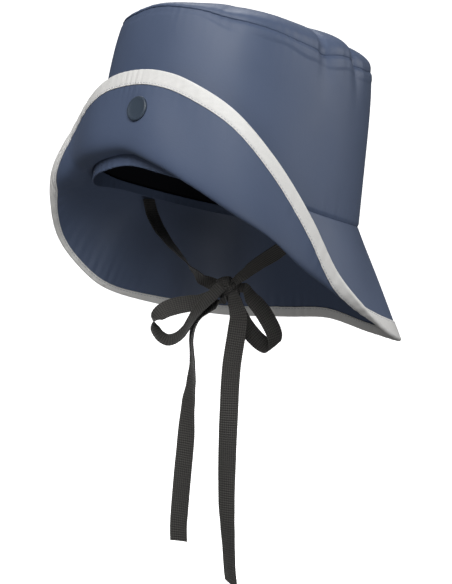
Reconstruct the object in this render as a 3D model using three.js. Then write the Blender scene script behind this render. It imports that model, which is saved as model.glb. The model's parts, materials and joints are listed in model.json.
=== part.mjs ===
// A child's rain hat with a turned-up front brim, reflective binding and ribbon ties tied in a bow.
// Millimetres. The wearer looks along -Y, the wearer's left is +X and up is +Z.
// The origin is the centre of the head opening, and the hat is tipped back as it is worn.
import * as THREE from 'three';

// Driving sizes of the crown
const seamLength = 176;
const seamWidth = 151;
const topLength = 164;
const topWidth = 140;
const crownHeight = 98;
const crownLean = 5;
const topRise = 14;
const clothThick = 1.4;
const shoulderShare = 0.38;
const shoulderPower = 7;
const dentPower = 8;

// Driving sizes of the brim, its binding and the inside band
const brimWidth = 70;
const brimThick = 1.4;
const bindingWidth = 9;
const bindingThick = 1;
const bandAbove = 3;
const bandBelowFront = 8;
const bandBelowBack = 2;
const bandThick = 1.2;
const brimPull = 0.92;

// Driving sizes of the snap that holds the front up
const snapWidth = 15.5;
const snapRise = 1.6;
const socketWidth = 11;
const snapTurn = 7;
const snapShare = 0.82;

// Driving sizes of the ribbon ties
const ribbonWidth = 12;
const ribbonThick = 1;
const knotHalf = new THREE.Vector3(9, 7, 6);
const knotPlace = new THREE.Vector3(1, 0.6, -56.4);
const bowTurn = 45;
const knotLead = 3;
const stepsEach = 2;

const tiltBack = 14.5;
const gap = 0.3;
const squareness = 2.4;
const stations = 72;
const brimSteps = 8;
const domeRings = [1, 0.975, 0.92, 0.82, 0.66, 0.44, 0.2];
const sideLevels = [0, 0.2, 0.42, 0.64, 0.82, 0.93, 1];

const radians = THREE.MathUtils.degToRad;

// Sections of the brim and the two seams, by turn in degrees from the front towards the wearer's left.
// seamLift and topLift are shares of crownHeight and puff is a share of topRise.
// kneeOut, kneeUp, edgeOut and edgeUp are shares of brimWidth, out from the crown's wall and up from the origin.
const sections = [
  { turn: 0, seamLift: 0.13, topLift: 0.035, puff: 0.3, kneeOut: 0.16, kneeUp: 0.16, edgeOut: 0.071, edgeUp: 0.86 },
  { turn: 20, seamLift: 0.1, topLift: 0.03, puff: 0.4, kneeOut: 0.17, kneeUp: 0.01, edgeOut: 0.093, edgeUp: 0.84 },
  { turn: 35, seamLift: 0.07, topLift: 0.015, puff: 0.65, kneeOut: 0.17, kneeUp: -0.19, edgeOut: 0.17, edgeUp: 0.73 },
  { turn: 47, seamLift: 0.04, topLift: 0, puff: 0.75, kneeOut: 0.19, kneeUp: -0.35, edgeOut: 0.23, edgeUp: 0.57 },
  { turn: 60, seamLift: 0.01, topLift: -0.015, puff: 0.85, kneeOut: 0.2, kneeUp: -0.5, edgeOut: 0.295, edgeUp: 0.27 },
  { turn: 75, seamLift: -0.01, topLift: -0.04, puff: 0.95, kneeOut: 0.2, kneeUp: -0.68, edgeOut: 0.335, edgeUp: -0.13 },
  { turn: 90, seamLift: -0.025, topLift: -0.06, puff: 1, kneeOut: 0.25, kneeUp: -0.76, edgeOut: 0.36, edgeUp: -0.51 },
  { turn: 105, seamLift: -0.03, topLift: -0.07, puff: 1, kneeOut: 0.31, kneeUp: -0.84, edgeOut: 0.45, edgeUp: -0.78 },
  { turn: 120, seamLift: -0.025, topLift: -0.05, puff: 1, kneeOut: 0.36, kneeUp: -0.81, edgeOut: 0.5, edgeUp: -0.93 },
  { turn: 140, seamLift: -0.01, topLift: 0, puff: 1, kneeOut: 0.29, kneeUp: -0.51, edgeOut: 0.56, edgeUp: -0.96 },
  { turn: 160, seamLift: 0, topLift: 0, puff: 1, kneeOut: 0.26, kneeUp: -0.43, edgeOut: 0.54, edgeUp: -0.91 },
  { turn: 180, seamLift: 0, topLift: 0, puff: 1, kneeOut: 0.23, kneeUp: -0.37, edgeOut: 0.43, edgeUp: -0.83 },
  { turn: 200, seamLift: 0, topLift: 0, puff: 1, kneeOut: 0.2, kneeUp: -0.4, edgeOut: 0.38, edgeUp: -0.885 },
  { turn: 225, seamLift: 0, topLift: 0, puff: 0.95, kneeOut: 0.18, kneeUp: -0.43, edgeOut: 0.37, edgeUp: -0.975 },
  { turn: 255, seamLift: 0, topLift: 0, puff: 0.85, kneeOut: 0.2, kneeUp: -0.43, edgeOut: 0.39, edgeUp: -0.97 },
  { turn: 270, seamLift: 0, topLift: 0, puff: 0.75, kneeOut: 0.24, kneeUp: -0.4, edgeOut: 0.43, edgeUp: -0.91 },
  { turn: 280, seamLift: 0, topLift: 0, puff: 0.65, kneeOut: 0.32, kneeUp: -0.34, edgeOut: 0.48, edgeUp: -0.78 },
  { turn: 290, seamLift: 0, topLift: 0, puff: 0.55, kneeOut: 0.38, kneeUp: -0.26, edgeOut: 0.52, edgeUp: -0.58 },
  { turn: 300, seamLift: 0.01, topLift: -0.03, puff: 0.45, kneeOut: 0.38, kneeUp: -0.2, edgeOut: 0.47, edgeUp: -0.32 },
  { turn: 310, seamLift: 0.02, topLift: -0.05, puff: 0.4, kneeOut: 0.3, kneeUp: -0.12, edgeOut: 0.39, edgeUp: 0.03 },
  { turn: 320, seamLift: 0.04, topLift: -0.05, puff: 0.35, kneeOut: 0.21, kneeUp: 0.04, edgeOut: 0.2, edgeUp: 0.44 },
  { turn: 340, seamLift: 0.09, topLift: -0.01, puff: 0.3, kneeOut: 0.17, kneeUp: 0.14, edgeOut: 0.103, edgeUp: 0.76 },
];

// Dents at the top seam: where they are and half their spread in degrees, and their depth as a share of topRise
const dents = [
  { turn: 39, spread: 7, depth: 0.12 },
  { turn: 85, spread: 7, depth: 0.24 },
  { turn: 103, spread: 6, depth: 0.2 },
  { turn: 315, spread: 8, depth: 0.2 },
];

function dentDepth(turn) {
  return dents.reduce((sum, dent) => {
    const apart = THREE.MathUtils.euclideanModulo(turn - dent.turn + 180, 360) - 180;
    return sum + topRise * dent.depth * Math.exp(-((apart / dent.spread) ** 2));
  }, 0);
}

// A column of the section table, smooth all the way round
function column(name, turn) {
  const count = sections.length;
  const angle = ((turn % 360) + 360) % 360;
  let start = 0;
  sections.forEach((row, index) => {
    if (row.turn <= angle) start = index;
  });
  const knots = [-1, 0, 1, 2].map((step) => {
    const index = start + step;
    const lap = Math.floor(index / count);
    const row = sections[index - lap * count];
    return { at: row.turn + 360 * lap, value: row[name] };
  });
  const [before, from, to, after] = knots;
  const span = to.at - from.at;
  const part = (angle - from.at) / span;
  const slopeFrom = ((to.value - before.value) / (to.at - before.at)) * span;
  const slopeTo = ((after.value - from.value) / (after.at - from.at)) * span;
  const square = part * part;
  const cube = square * part;
  return from.value * (2 * cube - 3 * square + 1) + slopeFrom * (cube - 2 * square + part)
    + to.value * (3 * square - 2 * cube) + slopeTo * (cube - square);
}

// A point of a slightly squared oval, and the outward direction of the head seam, both seen from above
function oval(length, width, turn) {
  const side = Math.sin(radians(turn));
  const front = -Math.cos(radians(turn));
  const swell = (Math.abs(side) ** squareness + Math.abs(front) ** squareness) ** (-1 / squareness);
  return new THREE.Vector2(width / 2 * side * swell, length / 2 * front * swell);
}

function outward(turn) {
  const side = Math.sin(radians(turn));
  const front = -Math.cos(radians(turn));
  const power = squareness - 1;
  const x = Math.sign(side) * Math.abs(side) ** power / seamWidth;
  const y = Math.sign(front) * Math.abs(front) ** power / seamLength;
  return new THREE.Vector2(x, y).normalize();
}

// The middle of the crown's wall, from the head seam at height 0 to the top seam at height 1
function sidePoint(turn, height) {
  const low = oval(seamLength - clothThick, seamWidth - clothThick, turn);
  const high = oval(topLength - clothThick, topWidth - clothThick, turn);
  const inward = (1 - shoulderShare) * height + shoulderShare * height ** shoulderPower;
  const place = low.clone().lerp(high, inward);
  const dent = dentDepth(turn) * height ** dentPower;
  place.addScaledVector(outward(turn), -dent);
  const lowLevel = crownHeight * column('seamLift', turn);
  const highLevel = crownHeight * (1 + column('topLift', turn));
  const level = lowLevel + (highLevel - lowLevel) * height - dent / 2;
  return new THREE.Vector3(place.x, place.y - crownLean * height, level);
}

// The middle of the top panel's wall, from its centre at reach 0 to the top seam at reach 1
function topPoint(turn, reach) {
  const rim = sidePoint(turn, 1);
  const puff = 1 + (column('puff', turn) - 1) * reach ** 2;
  const swell = topRise * puff * Math.sqrt(1 - reach ** 5);
  const level = crownHeight + (rim.z - crownHeight) * reach ** 2;
  const raise = clothThick / 2 + gap;
  return new THREE.Vector3(rim.x * reach, -crownLean + (rim.y + crownLean) * reach, level + swell + raise);
}

// How far outward the crown's wall lies at a level, measured from the head seam
function wallDrift(turn, level) {
  const low = column('seamLift', turn);
  const high = 1 + column('topLift', turn);
  const height = THREE.MathUtils.clamp((level / crownHeight - low) / (high - low), 0, 1);
  const away = sidePoint(turn, height).sub(sidePoint(turn, 0));
  const out = outward(turn);
  return away.x * out.x + away.y * out.y;
}

// The brim's section at a turn: out from the crown's wall and up, round the knee to the edge
function brimCurve(turn) {
  const seamLevel = crownHeight * column('seamLift', turn);
  const start = new THREE.Vector2(0, seamLevel - gap - brimThick / 2);
  const knee = new THREE.Vector2(column('kneeOut', turn), column('kneeUp', turn)).multiplyScalar(brimWidth);
  const edge = new THREE.Vector2(column('edgeOut', turn), column('edgeUp', turn)).multiplyScalar(brimWidth);
  knee.x += wallDrift(turn, knee.y);
  edge.x += wallDrift(turn, edge.y);
  const first = start.clone().lerp(knee, brimPull);
  const second = edge.clone().lerp(knee, brimPull);
  return new THREE.CubicBezierCurve(start, first, second, edge);
}

// The middle of the brim, from the head seam at share 0 to the edge at share 1
function brimPoint(turn, share) {
  const spot = brimCurve(turn).getPoint(share);
  const base = oval(seamLength - clothThick, seamWidth - clothThick, turn);
  base.addScaledVector(outward(turn), spot.x);
  return new THREE.Vector3(base.x, base.y, spot.y);
}

// The rows of the brim: evenly to where the binding starts, then to its middle and to the edge
function brimRows() {
  const steps = Array.from({ length: brimSteps + 3 }, (_, index) => index);
  const turns = Array.from({ length: stations }, (_, index) => index * 360 / stations);
  return steps.map((step) => turns.map((turn) => {
    const curve = brimCurve(turn);
    const bound = curve.getUtoTmapping(1 - bindingWidth / curve.getLength());
    const past = Math.max(step - brimSteps, 0) / 2;
    const share = bound * Math.min(step / brimSteps, 1) + (1 - bound) * past;
    return brimPoint(turn, share);
  }));
}

// Rows of points as a grid of stations round the hat
function grid(point, shares) {
  return shares.map((share) => Array.from({ length: stations }, (_, index) => point(index * 360 / stations, share)));
}

// The outward normal of a grid that closes round the hat
function gridNormal(rows, level, index) {
  const next = rows[level][(index + 1) % stations];
  const last = rows[level][(index + stations - 1) % stations];
  const up = rows[Math.min(level + 1, rows.length - 1)][index];
  const down = rows[Math.max(level - 1, 0)][index];
  return next.clone().sub(last).cross(up.clone().sub(down)).normalize();
}

function offsetGrid(rows, distance) {
  return rows.map((row, level) => row.map((place, index) => (
    place.clone().addScaledVector(gridNormal(rows, level, index), distance))));
}

// Geometry from points and triangles
function geometryOf(points, faces) {
  const geometry = new THREE.BufferGeometry();
  geometry.setAttribute('position', new THREE.Float32BufferAttribute(points.flatMap((place) => place.toArray()), 3));
  geometry.setIndex(faces.flat());
  geometry.computeVertexNormals();
  return geometry;
}

// Triangles between two rings of the same count
function joinRings(faces, first, second, count) {
  for (let index = 0; index < count; index += 1) {
    const next = (index + 1) % count;
    faces.push([first + index, first + next, second + next]);
    faces.push([first + index, second + next, second + index]);
  }
}

// A wall round the hat: out along the outer rows, over the rim and back along the inner rows
function wallGeometry(rows, thick) {
  const rings = [...offsetGrid(rows, thick / 2), ...offsetGrid(rows, -thick / 2).reverse()];
  const faces = [];
  rings.forEach((_, level) => {
    joinRings(faces, level * stations, ((level + 1) % rings.length) * stations, stations);
  });
  return geometryOf(rings.flat(), faces);
}

// A dome: rows run from the rim inwards, and each skin closes on one point at the centre
function domeGeometry(rows, centre, thick) {
  const outer = offsetGrid(rows, thick / 2);
  const inner = offsetGrid(rows, -thick / 2);
  const rings = [...inner.reverse(), ...outer];
  const faces = [];
  for (let level = 0; level + 1 < rings.length; level += 1) {
    joinRings(faces, level * stations, (level + 1) * stations, stations);
  }
  const points = rings.flat();
  const low = points.push(centre.clone().add(new THREE.Vector3(0, 0, -thick / 2))) - 1;
  const high = points.push(centre.clone().add(new THREE.Vector3(0, 0, thick / 2))) - 1;
  const last = (rings.length - 1) * stations;
  for (let index = 0; index < stations; index += 1) {
    const next = (index + 1) % stations;
    faces.push([next, index, low]);
    faces.push([last + index, last + next, high]);
  }
  return geometryOf(points, faces);
}

// A bar whose sections all have the same number of corners, closed round the hat or with two flat ends
function barGeometry(bars, closed) {
  const corners = bars[0].length;
  const faces = [];
  const joints = closed ? bars.length : bars.length - 1;
  for (let index = 0; index < joints; index += 1) {
    joinRings(faces, index * corners, ((index + 1) % bars.length) * corners, corners);
  }
  if (!closed) {
    const last = (bars.length - 1) * corners;
    for (let corner = 1; corner + 1 < corners; corner += 1) {
      faces.push([0, corner + 1, corner]);
      faces.push([last, last + corner, last + corner + 1]);
    }
  }
  return geometryOf(bars.flat(), faces);
}

// The folded binding: its section follows the brim's last three rows on both faces, with a small gap
function bindingGeometry(rows) {
  const inside = brimThick / 2 + gap;
  const outside = inside + bindingThick;
  const last = rows.length - 1;
  const bars = rows[last].map((edge, index) => {
    const along = edge.clone().sub(rows[last - 1][index]).normalize();
    const face = (level) => gridNormal(rows, level, index);
    const spot = (level, offset) => rows[level][index].clone().addScaledVector(face(level), offset);
    const tip = (distance, offset) => spot(last, offset).addScaledVector(along, distance);
    return [
      spot(last - 2, -outside),
      spot(last - 1, -outside),
      spot(last, -outside),
      tip(gap + bindingThick, -inside / 2),
      tip(gap + bindingThick, inside / 2),
      spot(last, outside),
      spot(last - 1, outside),
      spot(last - 2, outside),
      spot(last - 2, inside),
      spot(last - 1, inside),
      tip(gap, inside),
      tip(gap, -inside),
      spot(last - 1, -inside),
      spot(last - 2, -inside),
    ];
  });
  return barGeometry(bars, true);
}

// The inside band, a ring just inside the crown's wall across the head seam, which hangs lowest at the front
function bandPoint(turn, share) {
  const inset = clothThick / 2 + gap + bandThick / 2;
  const ahead = THREE.MathUtils.smoothstep(Math.cos(radians(turn)), 0.25, 0.75);
  const below = bandBelowBack + (bandBelowFront - bandBelowBack) * ahead;
  const level = share < 0 ? share * below : share * bandAbove;
  const height = Math.max(level, 0) / crownHeight;
  const place = sidePoint(turn, height);
  const out = outward(turn);
  return new THREE.Vector3(place.x - out.x * inset, place.y - out.y * inset, place.z + Math.min(level, 0));
}

// The frame of the brim's face at the snap
function snapFrame(share) {
  const place = brimPoint(snapTurn, share);
  const up = brimPoint(snapTurn, share + 0.02).sub(brimPoint(snapTurn, share - 0.02)).normalize();
  const aside = brimPoint(snapTurn + 2, share).sub(brimPoint(snapTurn - 2, share)).normalize();
  const out = aside.clone().cross(up).normalize();
  return { place, up, aside, out };
}

// The cap: a low dome with a rounded rim, its back a small gap off the brim
function snapCap() {
  const half = snapWidth / 2;
  const profile = [[0, 0], [half * 0.94, 0], [half, snapRise * 0.3], [half * 0.95, snapRise * 0.65],
    [half * 0.8, snapRise * 0.9], [half * 0.4, snapRise], [0, snapRise]];
  const geometry = new THREE.LatheGeometry(profile.map(([x, y]) => new THREE.Vector2(x, y)), 24);
  const mesh = new THREE.Mesh(geometry);
  const frame = snapFrame(snapShare);
  mesh.position.copy(frame.place).addScaledVector(frame.out, brimThick / 2 + gap);
  mesh.quaternion.setFromUnitVectors(new THREE.Vector3(0, 1, 0), frame.out);
  return mesh;
}

// The hidden socket: a plain drum from the back of the brim to the crown's wall
function snapSocket() {
  const sides = 16;
  const halvings = 30;
  const frame = snapFrame(snapShare);
  const across = frame.out.clone();
  const hitCrown = (spot) => {
    let low = 0;
    let high = brimWidth;
    for (let step = 0; step < halvings; step += 1) {
      const middle = (low + high) / 2;
      const place = spot.clone().addScaledVector(across, -middle);
      if (insideCrown(place)) high = middle;
      else low = middle;
    }
    return low;
  };
  const ring = Array.from({ length: sides }, (_, index) => {
    const angle = index * 2 * Math.PI / sides;
    const spot = frame.place.clone();
    spot.addScaledVector(frame.aside, Math.cos(angle) * socketWidth / 2);
    return spot.addScaledVector(frame.up, Math.sin(angle) * socketWidth / 2);
  });
  const nearest = Math.min(...ring.map(hitCrown), hitCrown(frame.place));
  const frontRadius = seamWidth * seamWidth / seamLength / 2;
  const bulge = socketWidth * socketWidth / 8 / frontRadius;
  const front = brimThick / 2 + gap + bulge;
  const back = nearest - gap;
  const bars = [back, front].map((depth) => ring.map((spot) => spot.clone().addScaledVector(across, -depth)));
  return new THREE.Mesh(barGeometry(bars, false));
}

// True where a point lies inside the outer face of the crown's wall
function insideCrown(place) {
  const turn = THREE.MathUtils.radToDeg(Math.atan2(place.x / topWidth, -place.y / topLength));
  const height = THREE.MathUtils.clamp(place.z / crownHeight, 0, 1);
  const wall = sidePoint(turn, height);
  const out = outward(turn);
  const reach = (place.x - wall.x) * out.x + (place.y - wall.y) * out.y;
  return reach < clothThick / 2;
}

// The bow's own frame: across to the right, up and forward, turned half left about the knot
function fromBow(across, up, forward) {
  const turn = radians(bowTurn);
  const x = across * Math.cos(turn) + forward * Math.sin(turn);
  const y = across * Math.sin(turn) - forward * Math.cos(turn);
  return new THREE.Vector3(x, y, up);
}

// Two rows that bring a ribbon squarely onto the knot: a direction from the knot's middle, a width direction and share
function atKnot(direction, widthWay, share) {
  const ray = new THREE.Vector3(...direction);
  const scale = 1 / ray.clone().divide(knotHalf).length();
  const face = ray.clone().multiplyScalar(scale);
  const normal = face.clone().divide(knotHalf).divide(knotHalf).normalize();
  const width = new THREE.Vector3(...widthWay);
  width.addScaledVector(normal, -width.dot(normal)).normalize();
  return [gap, gap + knotLead].map((distance) => {
    const place = face.clone().addScaledVector(normal, distance);
    return [...place.toArray(), ...width.toArray(), share];
  });
}

// Ribbon routes, chosen by hand: across, up and forward from the knot's middle in the bow's frame,
// then the direction of the ribbon's width in that frame and its width as a share of ribbonWidth
const tieRightRoute = [
  [-52.5, 52.4, -51.9, 0.55, 0, -0.83, 1],
  [-50.2, 43.5, -49, 0.55, 0.1, -0.83, 1],
  [-45, 33.5, -41.5, 0.45, 0.1, -0.88, 1],
  [-38.4, 25.3, -33.5, 0.25, 0.05, -0.97, 1],
  [-30.8, 17.6, -25.5, 0.08, 0, -1, 1],
  [-24, 10.2, -18, -0.15, -0.1, -0.98, 0.95],
  [-16.8, 4, -11.5, -0.45, -0.45, -0.75, 0.85],
  ...atKnot([-0.75, 0.08, -0.65], [-0.4, -0.9, 0], 0.6).reverse(),
];
const tieLeftRoute = [
  [49.9, 43.7, 50.8, -0.7, 0, 0.7, 1],
  [48.8, 40.4, 49.4, -0.65, 0.2, 0.73, 1],
  [43, 37, 43, -0.5, 0.45, 0.72, 1],
  [35, 30.7, 35, -0.45, 0.55, 0.7, 1],
  [27, 24, 27, -0.45, 0.6, 0.68, 1],
  [18, 16.9, 17.5, -0.5, 0.6, 0.6, 0.85],
  [12, 11.3, 11, -0.55, 0.6, 0.4, 0.65],
  ...atKnot([0.6, 0.55, 0.6], [-0.5, 0.7, 0], 0.45).reverse(),
];
const loopRightRoute = [
  ...atKnot([-0.95, -0.35, -0.25], [0, 0.9, -0.4], 0.5),
  [-17, -8.5, -3.5, 0, 0.84, -0.54, 0.75],
  [-24.5, -10.4, -3, 0, 0.84, -0.54, 0.95],
  [-33, -11.8, -2, 0, 0.82, -0.56, 1],
  [-41, -14.6, -0.5, 0, 0.78, -0.62, 1],
  [-46.3, -19, 0.5, 0.05, 0.72, -0.69, 1],
  [-47, -24.2, 1.5, 0.08, 0.6, -0.8, 1],
  [-43.6, -30.2, 2.5, 0.05, 0.48, -0.87, 1],
  [-38.5, -33, 3, 0.02, 0.45, -0.89, 1],
  [-33.5, -31.8, 3.5, 0, 0.45, -0.89, 1],
  [-28.5, -27.6, 4.5, -0.05, 0.47, -0.88, 1],
  [-24.8, -21.8, 6, -0.1, 0.48, -0.87, 1],
  [-21.8, -16.6, 7.5, -0.15, 0.5, -0.85, 0.95],
  [-16.7, -10.2, 9, -0.25, 0.5, -0.8, 0.85],
  [-10.5, -4, 9.5, -0.4, 0.55, -0.6, 0.75],
  ...atKnot([-0.45, 0.3, 0.85], [-0.6, 0.6, 0], 0.6).reverse(),
];
const loopLeftRoute = [
  ...atKnot([0.95, 0.05, 0.25], [-0.2, 0.9, -0.2], 0.5),
  [15, -6, 2.5, -0.45, -0.7, 0.4, 0.8],
  [19, -10.5, 2.5, -0.6, -0.55, 0.5, 0.95],
  [22.7, -15.5, 2.5, -0.7, -0.47, 0.53, 1],
  [26.3, -21.5, 3, -0.7, -0.47, 0.53, 1],
  [29.2, -27.5, 3, -0.7, -0.47, 0.53, 1],
  [30.4, -32.8, 2.5, -0.7, -0.47, 0.53, 1],
  [29.8, -37, 0.3, -0.7, -0.47, 0.53, 1],
  [26.8, -38.8, -2.6, -0.7, -0.47, 0.53, 1],
  [22.7, -37.2, -4.5, -0.7, -0.47, 0.53, 1],
  [18.2, -33.4, -5.2, -0.7, -0.47, 0.53, 1],
  [13.8, -28.4, -5.5, -0.7, -0.47, 0.53, 1],
  [10, -22.4, -5.2, -0.75, -0.4, 0.5, 0.95],
  [7.2, -15.9, -4.5, -0.8, -0.3, 0.4, 0.8],
  ...atKnot([0.3, -0.85, -0.4], [1, 0, -0.3], 0.5).reverse(),
];
const endRightRoute = [
  ...atKnot([-0.3, -0.75, 0.6], [-0.3, 0.5, 0.8], 0.5),
  [-8.8, -9.8, 5, -0.25, 0.55, -0.8, 0.7],
  [-13.8, -12.8, 4.5, -0.22, 0.45, -0.86, 0.85],
  [-18.2, -16.4, 4.5, -0.2, 0.3, -0.93, 0.95],
  [-21.2, -21.6, 5, -0.2, 0.15, -0.97, 1],
  [-22.8, -27.4, 5.5, -0.2, 0.05, -0.98, 1],
  [-23.4, -33.5, 6, -0.2, 0, -0.98, 1],
  [-23, -40, 6, -0.22, 0, -0.97, 1],
  [-22.7, -48, 6, -0.28, 0, -0.96, 1],
  [-23.6, -61, 6, -0.48, 0, -0.88, 1],
  [-25.4, -74.5, 6, -0.7, 0, -0.71, 1],
  [-27.2, -99.5, 6, -0.92, 0, -0.39, 1],
  [-29.2, -120.5, 6, -0.94, 0, -0.34, 1],
  [-31.2, -143.6, 6, -0.94, 0, -0.34, 1],
  [-32, -155.5, 6, -0.92, 0, -0.39, 1],
  [-31.9, -165, 6, -0.92, 0, -0.39, 1],
];
const endLeftRoute = [
  ...atKnot([0.45, -0.3, 0.85], [0.9, 0.4, 0], 0.55),
  [5, -9.6, 8, 0.95, 0.3, 0, 0.8],
  [6.8, -16.8, 8.5, 0.98, 0.1, 0, 0.95],
  [6, -25.5, 8.5, 1, 0, 0, 1],
  [4.4, -35.5, 8.5, 1, 0, 0, 1],
  [2.6, -47.5, 8.5, 1, 0, 0, 1],
  [1.5, -60.7, 8.5, 1, 0, 0, 1],
  [0.9, -74, 8.5, 1, 0, 0, 1],
  [-0.3, -105, 8.5, 0.95, 0, 0.3, 1],
  [-0.8, -138, 8.5, 0.86, 0, 0.5, 1],
  [-0.2, -154.5, 8.5, 0.76, 0, 0.65, 1],
  [0.6, -170, 8.5, 0.66, 0, 0.75, 1],
  [1.2, -182.4, 8.5, 0.62, 0.1, 0.78, 1],
  [2.2, -192.8, 8.5, 0.6, 0.2, 0.78, 1],
];

// A flat ribbon along a route, as a bar with a thin rectangular section
function ribbonGeometry(route) {
  const places = route.map((row) => fromBow(row[0], row[1], row[2]).add(knotPlace));
  const ways = route.map((row) => fromBow(row[3], row[4], row[5]));
  const path = new THREE.CatmullRomCurve3(places, false, 'centripetal');
  const wayPath = new THREE.CatmullRomCurve3(ways, false, 'catmullrom', 0.5);
  const count = (route.length - 1) * stepsEach;
  const bars = Array.from({ length: count + 1 }, (_, index) => {
    const share = index / count;
    const slot = Math.min(Math.floor(index / stepsEach), route.length - 2);
    const part = index / stepsEach - slot;
    const widthShare = route[slot][6] + (route[slot + 1][6] - route[slot][6]) * part;
    const place = path.getPoint(share);
    const along = path.getTangent(share);
    const way = wayPath.getPoint(share);
    way.addScaledVector(along, -way.dot(along)).normalize();
    const face = along.clone().cross(way).normalize();
    const halfWidth = ribbonWidth * widthShare / 2;
    const halfThick = ribbonThick / 2;
    return [[1, 1], [-1, 1], [-1, -1], [1, -1]].map(([side, skin]) => (
      place.clone().addScaledVector(way, side * halfWidth).addScaledVector(face, skin * halfThick)));
  });
  return barGeometry(bars, false);
}

function knotGeometry() {
  const geometry = new THREE.SphereGeometry(1, 16, 10);
  geometry.scale(knotHalf.x, knotHalf.y, knotHalf.z);
  geometry.rotateX(Math.PI / 2);
  return geometry;
}

// Materials
const coatedCloth = new THREE.MeshStandardMaterial({ color: 0x66708a, roughness: 0.55, metalness: 0 });
const bindingTape = new THREE.MeshStandardMaterial({ color: 0xd9d8d6, roughness: 0.5, metalness: 0 });
const snapPlastic = new THREE.MeshStandardMaterial({ color: 0x56607c, roughness: 0.45, metalness: 0 });
const ribbonCloth = new THREE.MeshStandardMaterial({ color: 0x3a3a3a, roughness: 0.9, metalness: 0 });

const hat = new THREE.Group();
const shell = new THREE.Group();
shell.rotation.x = -radians(tiltBack);
hat.add(shell);

function addPiece(parent, name, piece, material) {
  const mesh = piece.isMesh ? piece : new THREE.Mesh(piece);
  mesh.name = name;
  mesh.material = material;
  parent.add(mesh);
}

addPiece(shell, 'crown_side', wallGeometry(grid(sidePoint, sideLevels), clothThick), coatedCloth);
addPiece(shell, 'crown_top', domeGeometry(grid(topPoint, domeRings), topPoint(0, 0), clothThick), coatedCloth);
addPiece(shell, 'brim', wallGeometry(brimRows(), brimThick), coatedCloth);
addPiece(shell, 'brim_binding', bindingGeometry(brimRows()), bindingTape);
addPiece(shell, 'inner_band', wallGeometry(grid(bandPoint, [-1, 0, 1]), bandThick), coatedCloth);
addPiece(shell, 'snap_cap', snapCap(), snapPlastic);
addPiece(shell, 'snap_socket', snapSocket(), snapPlastic);

const ribbons = {
  tie_right: tieRightRoute,
  tie_left: tieLeftRoute,
  bow_loop_right: loopRightRoute,
  bow_loop_left: loopLeftRoute,
  tie_end_right: endRightRoute,
  tie_end_left: endLeftRoute,
};
Object.entries(ribbons).forEach(([name, route]) => addPiece(hat, name, ribbonGeometry(route), ribbonCloth));

const knot = new THREE.Mesh(knotGeometry());
knot.position.copy(knotPlace);
knot.rotation.z = radians(bowTurn);
addPiece(hat, 'bow_knot', knot, ribbonCloth);

export default hat;
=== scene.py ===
# Child's rain hat: coated cloth crown and brim, reflective binding, snap, ribbon ties in a bow.
# Shapes are worked out in millimetres and turned to metres when a mesh is made.
import math

import bmesh
import bpy
import numpy as np
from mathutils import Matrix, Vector
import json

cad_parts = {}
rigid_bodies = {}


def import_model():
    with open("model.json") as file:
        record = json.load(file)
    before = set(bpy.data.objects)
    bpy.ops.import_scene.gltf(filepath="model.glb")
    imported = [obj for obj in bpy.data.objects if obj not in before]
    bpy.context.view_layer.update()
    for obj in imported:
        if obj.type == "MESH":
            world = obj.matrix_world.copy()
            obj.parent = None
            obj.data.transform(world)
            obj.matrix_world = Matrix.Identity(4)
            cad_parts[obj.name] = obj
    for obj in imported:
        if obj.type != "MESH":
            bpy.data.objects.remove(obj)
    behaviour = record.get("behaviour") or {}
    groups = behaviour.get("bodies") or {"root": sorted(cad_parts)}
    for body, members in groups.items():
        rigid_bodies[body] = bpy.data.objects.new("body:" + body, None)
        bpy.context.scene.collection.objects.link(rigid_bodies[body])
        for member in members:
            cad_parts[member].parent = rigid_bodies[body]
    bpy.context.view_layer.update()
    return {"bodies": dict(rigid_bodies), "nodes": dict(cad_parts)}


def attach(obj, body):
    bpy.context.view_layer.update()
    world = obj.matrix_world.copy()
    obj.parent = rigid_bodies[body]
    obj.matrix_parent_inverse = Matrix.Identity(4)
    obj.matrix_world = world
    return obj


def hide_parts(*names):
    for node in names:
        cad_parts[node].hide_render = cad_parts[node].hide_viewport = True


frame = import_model()

mm = 0.001
radian = math.pi / 180
print("frame loaded")


# Camera, at the photograph's angle
view = {
    "azimuth": 45,
    "elevation": 8,
    "distance": 1.1,
    "target": (0, 0, -0.059),
    "imageHeight": 584,
    "mmPerPixel": 0.64,        # at the target
    "sensor": 36,
}


def makeCamera():
    around = view["azimuth"] * radian
    up = view["elevation"] * radian
    away = Vector((math.cos(up) * math.sin(around), -math.cos(up) * math.cos(around), math.sin(up)))
    focalPixels = view["distance"] / (view["mmPerPixel"] * mm)
    data = bpy.data.cameras.new("camera")
    data.sensor_width = view["sensor"]
    data.lens = view["sensor"] * focalPixels / view["imageHeight"]    # the long side takes the sensor's width
    camera = bpy.data.objects.new("camera", data)
    camera.location = Vector(view["target"]) + away * view["distance"]
    camera.rotation_euler = away.to_track_quat("Z", "Y").to_euler()
    bpy.context.collection.objects.link(camera)
    bpy.context.scene.camera = camera


makeCamera()
print("camera ready")


# Shape of the hat: lengths in millimetres, table columns as shares of crownHeight, topRise or brimWidth
hat = {
    "seamLength": 176,
    "seamWidth": 151,
    "topLength": 164,
    "topWidth": 140,
    "crownHeight": 98,
    "crownLean": 5,
    "topRise": 14,
    "shoulderShare": 0.38,
    "shoulderPower": 7,
    "dentPower": 8,
    "brimWidth": 70,
    "brimPull": 0.92,
    "clothThick": 1.4,
    "gap": 0.3,
    "tiltBack": 14.5,
    "squareness": 2.4,
    "stations": 660,
}

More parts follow.
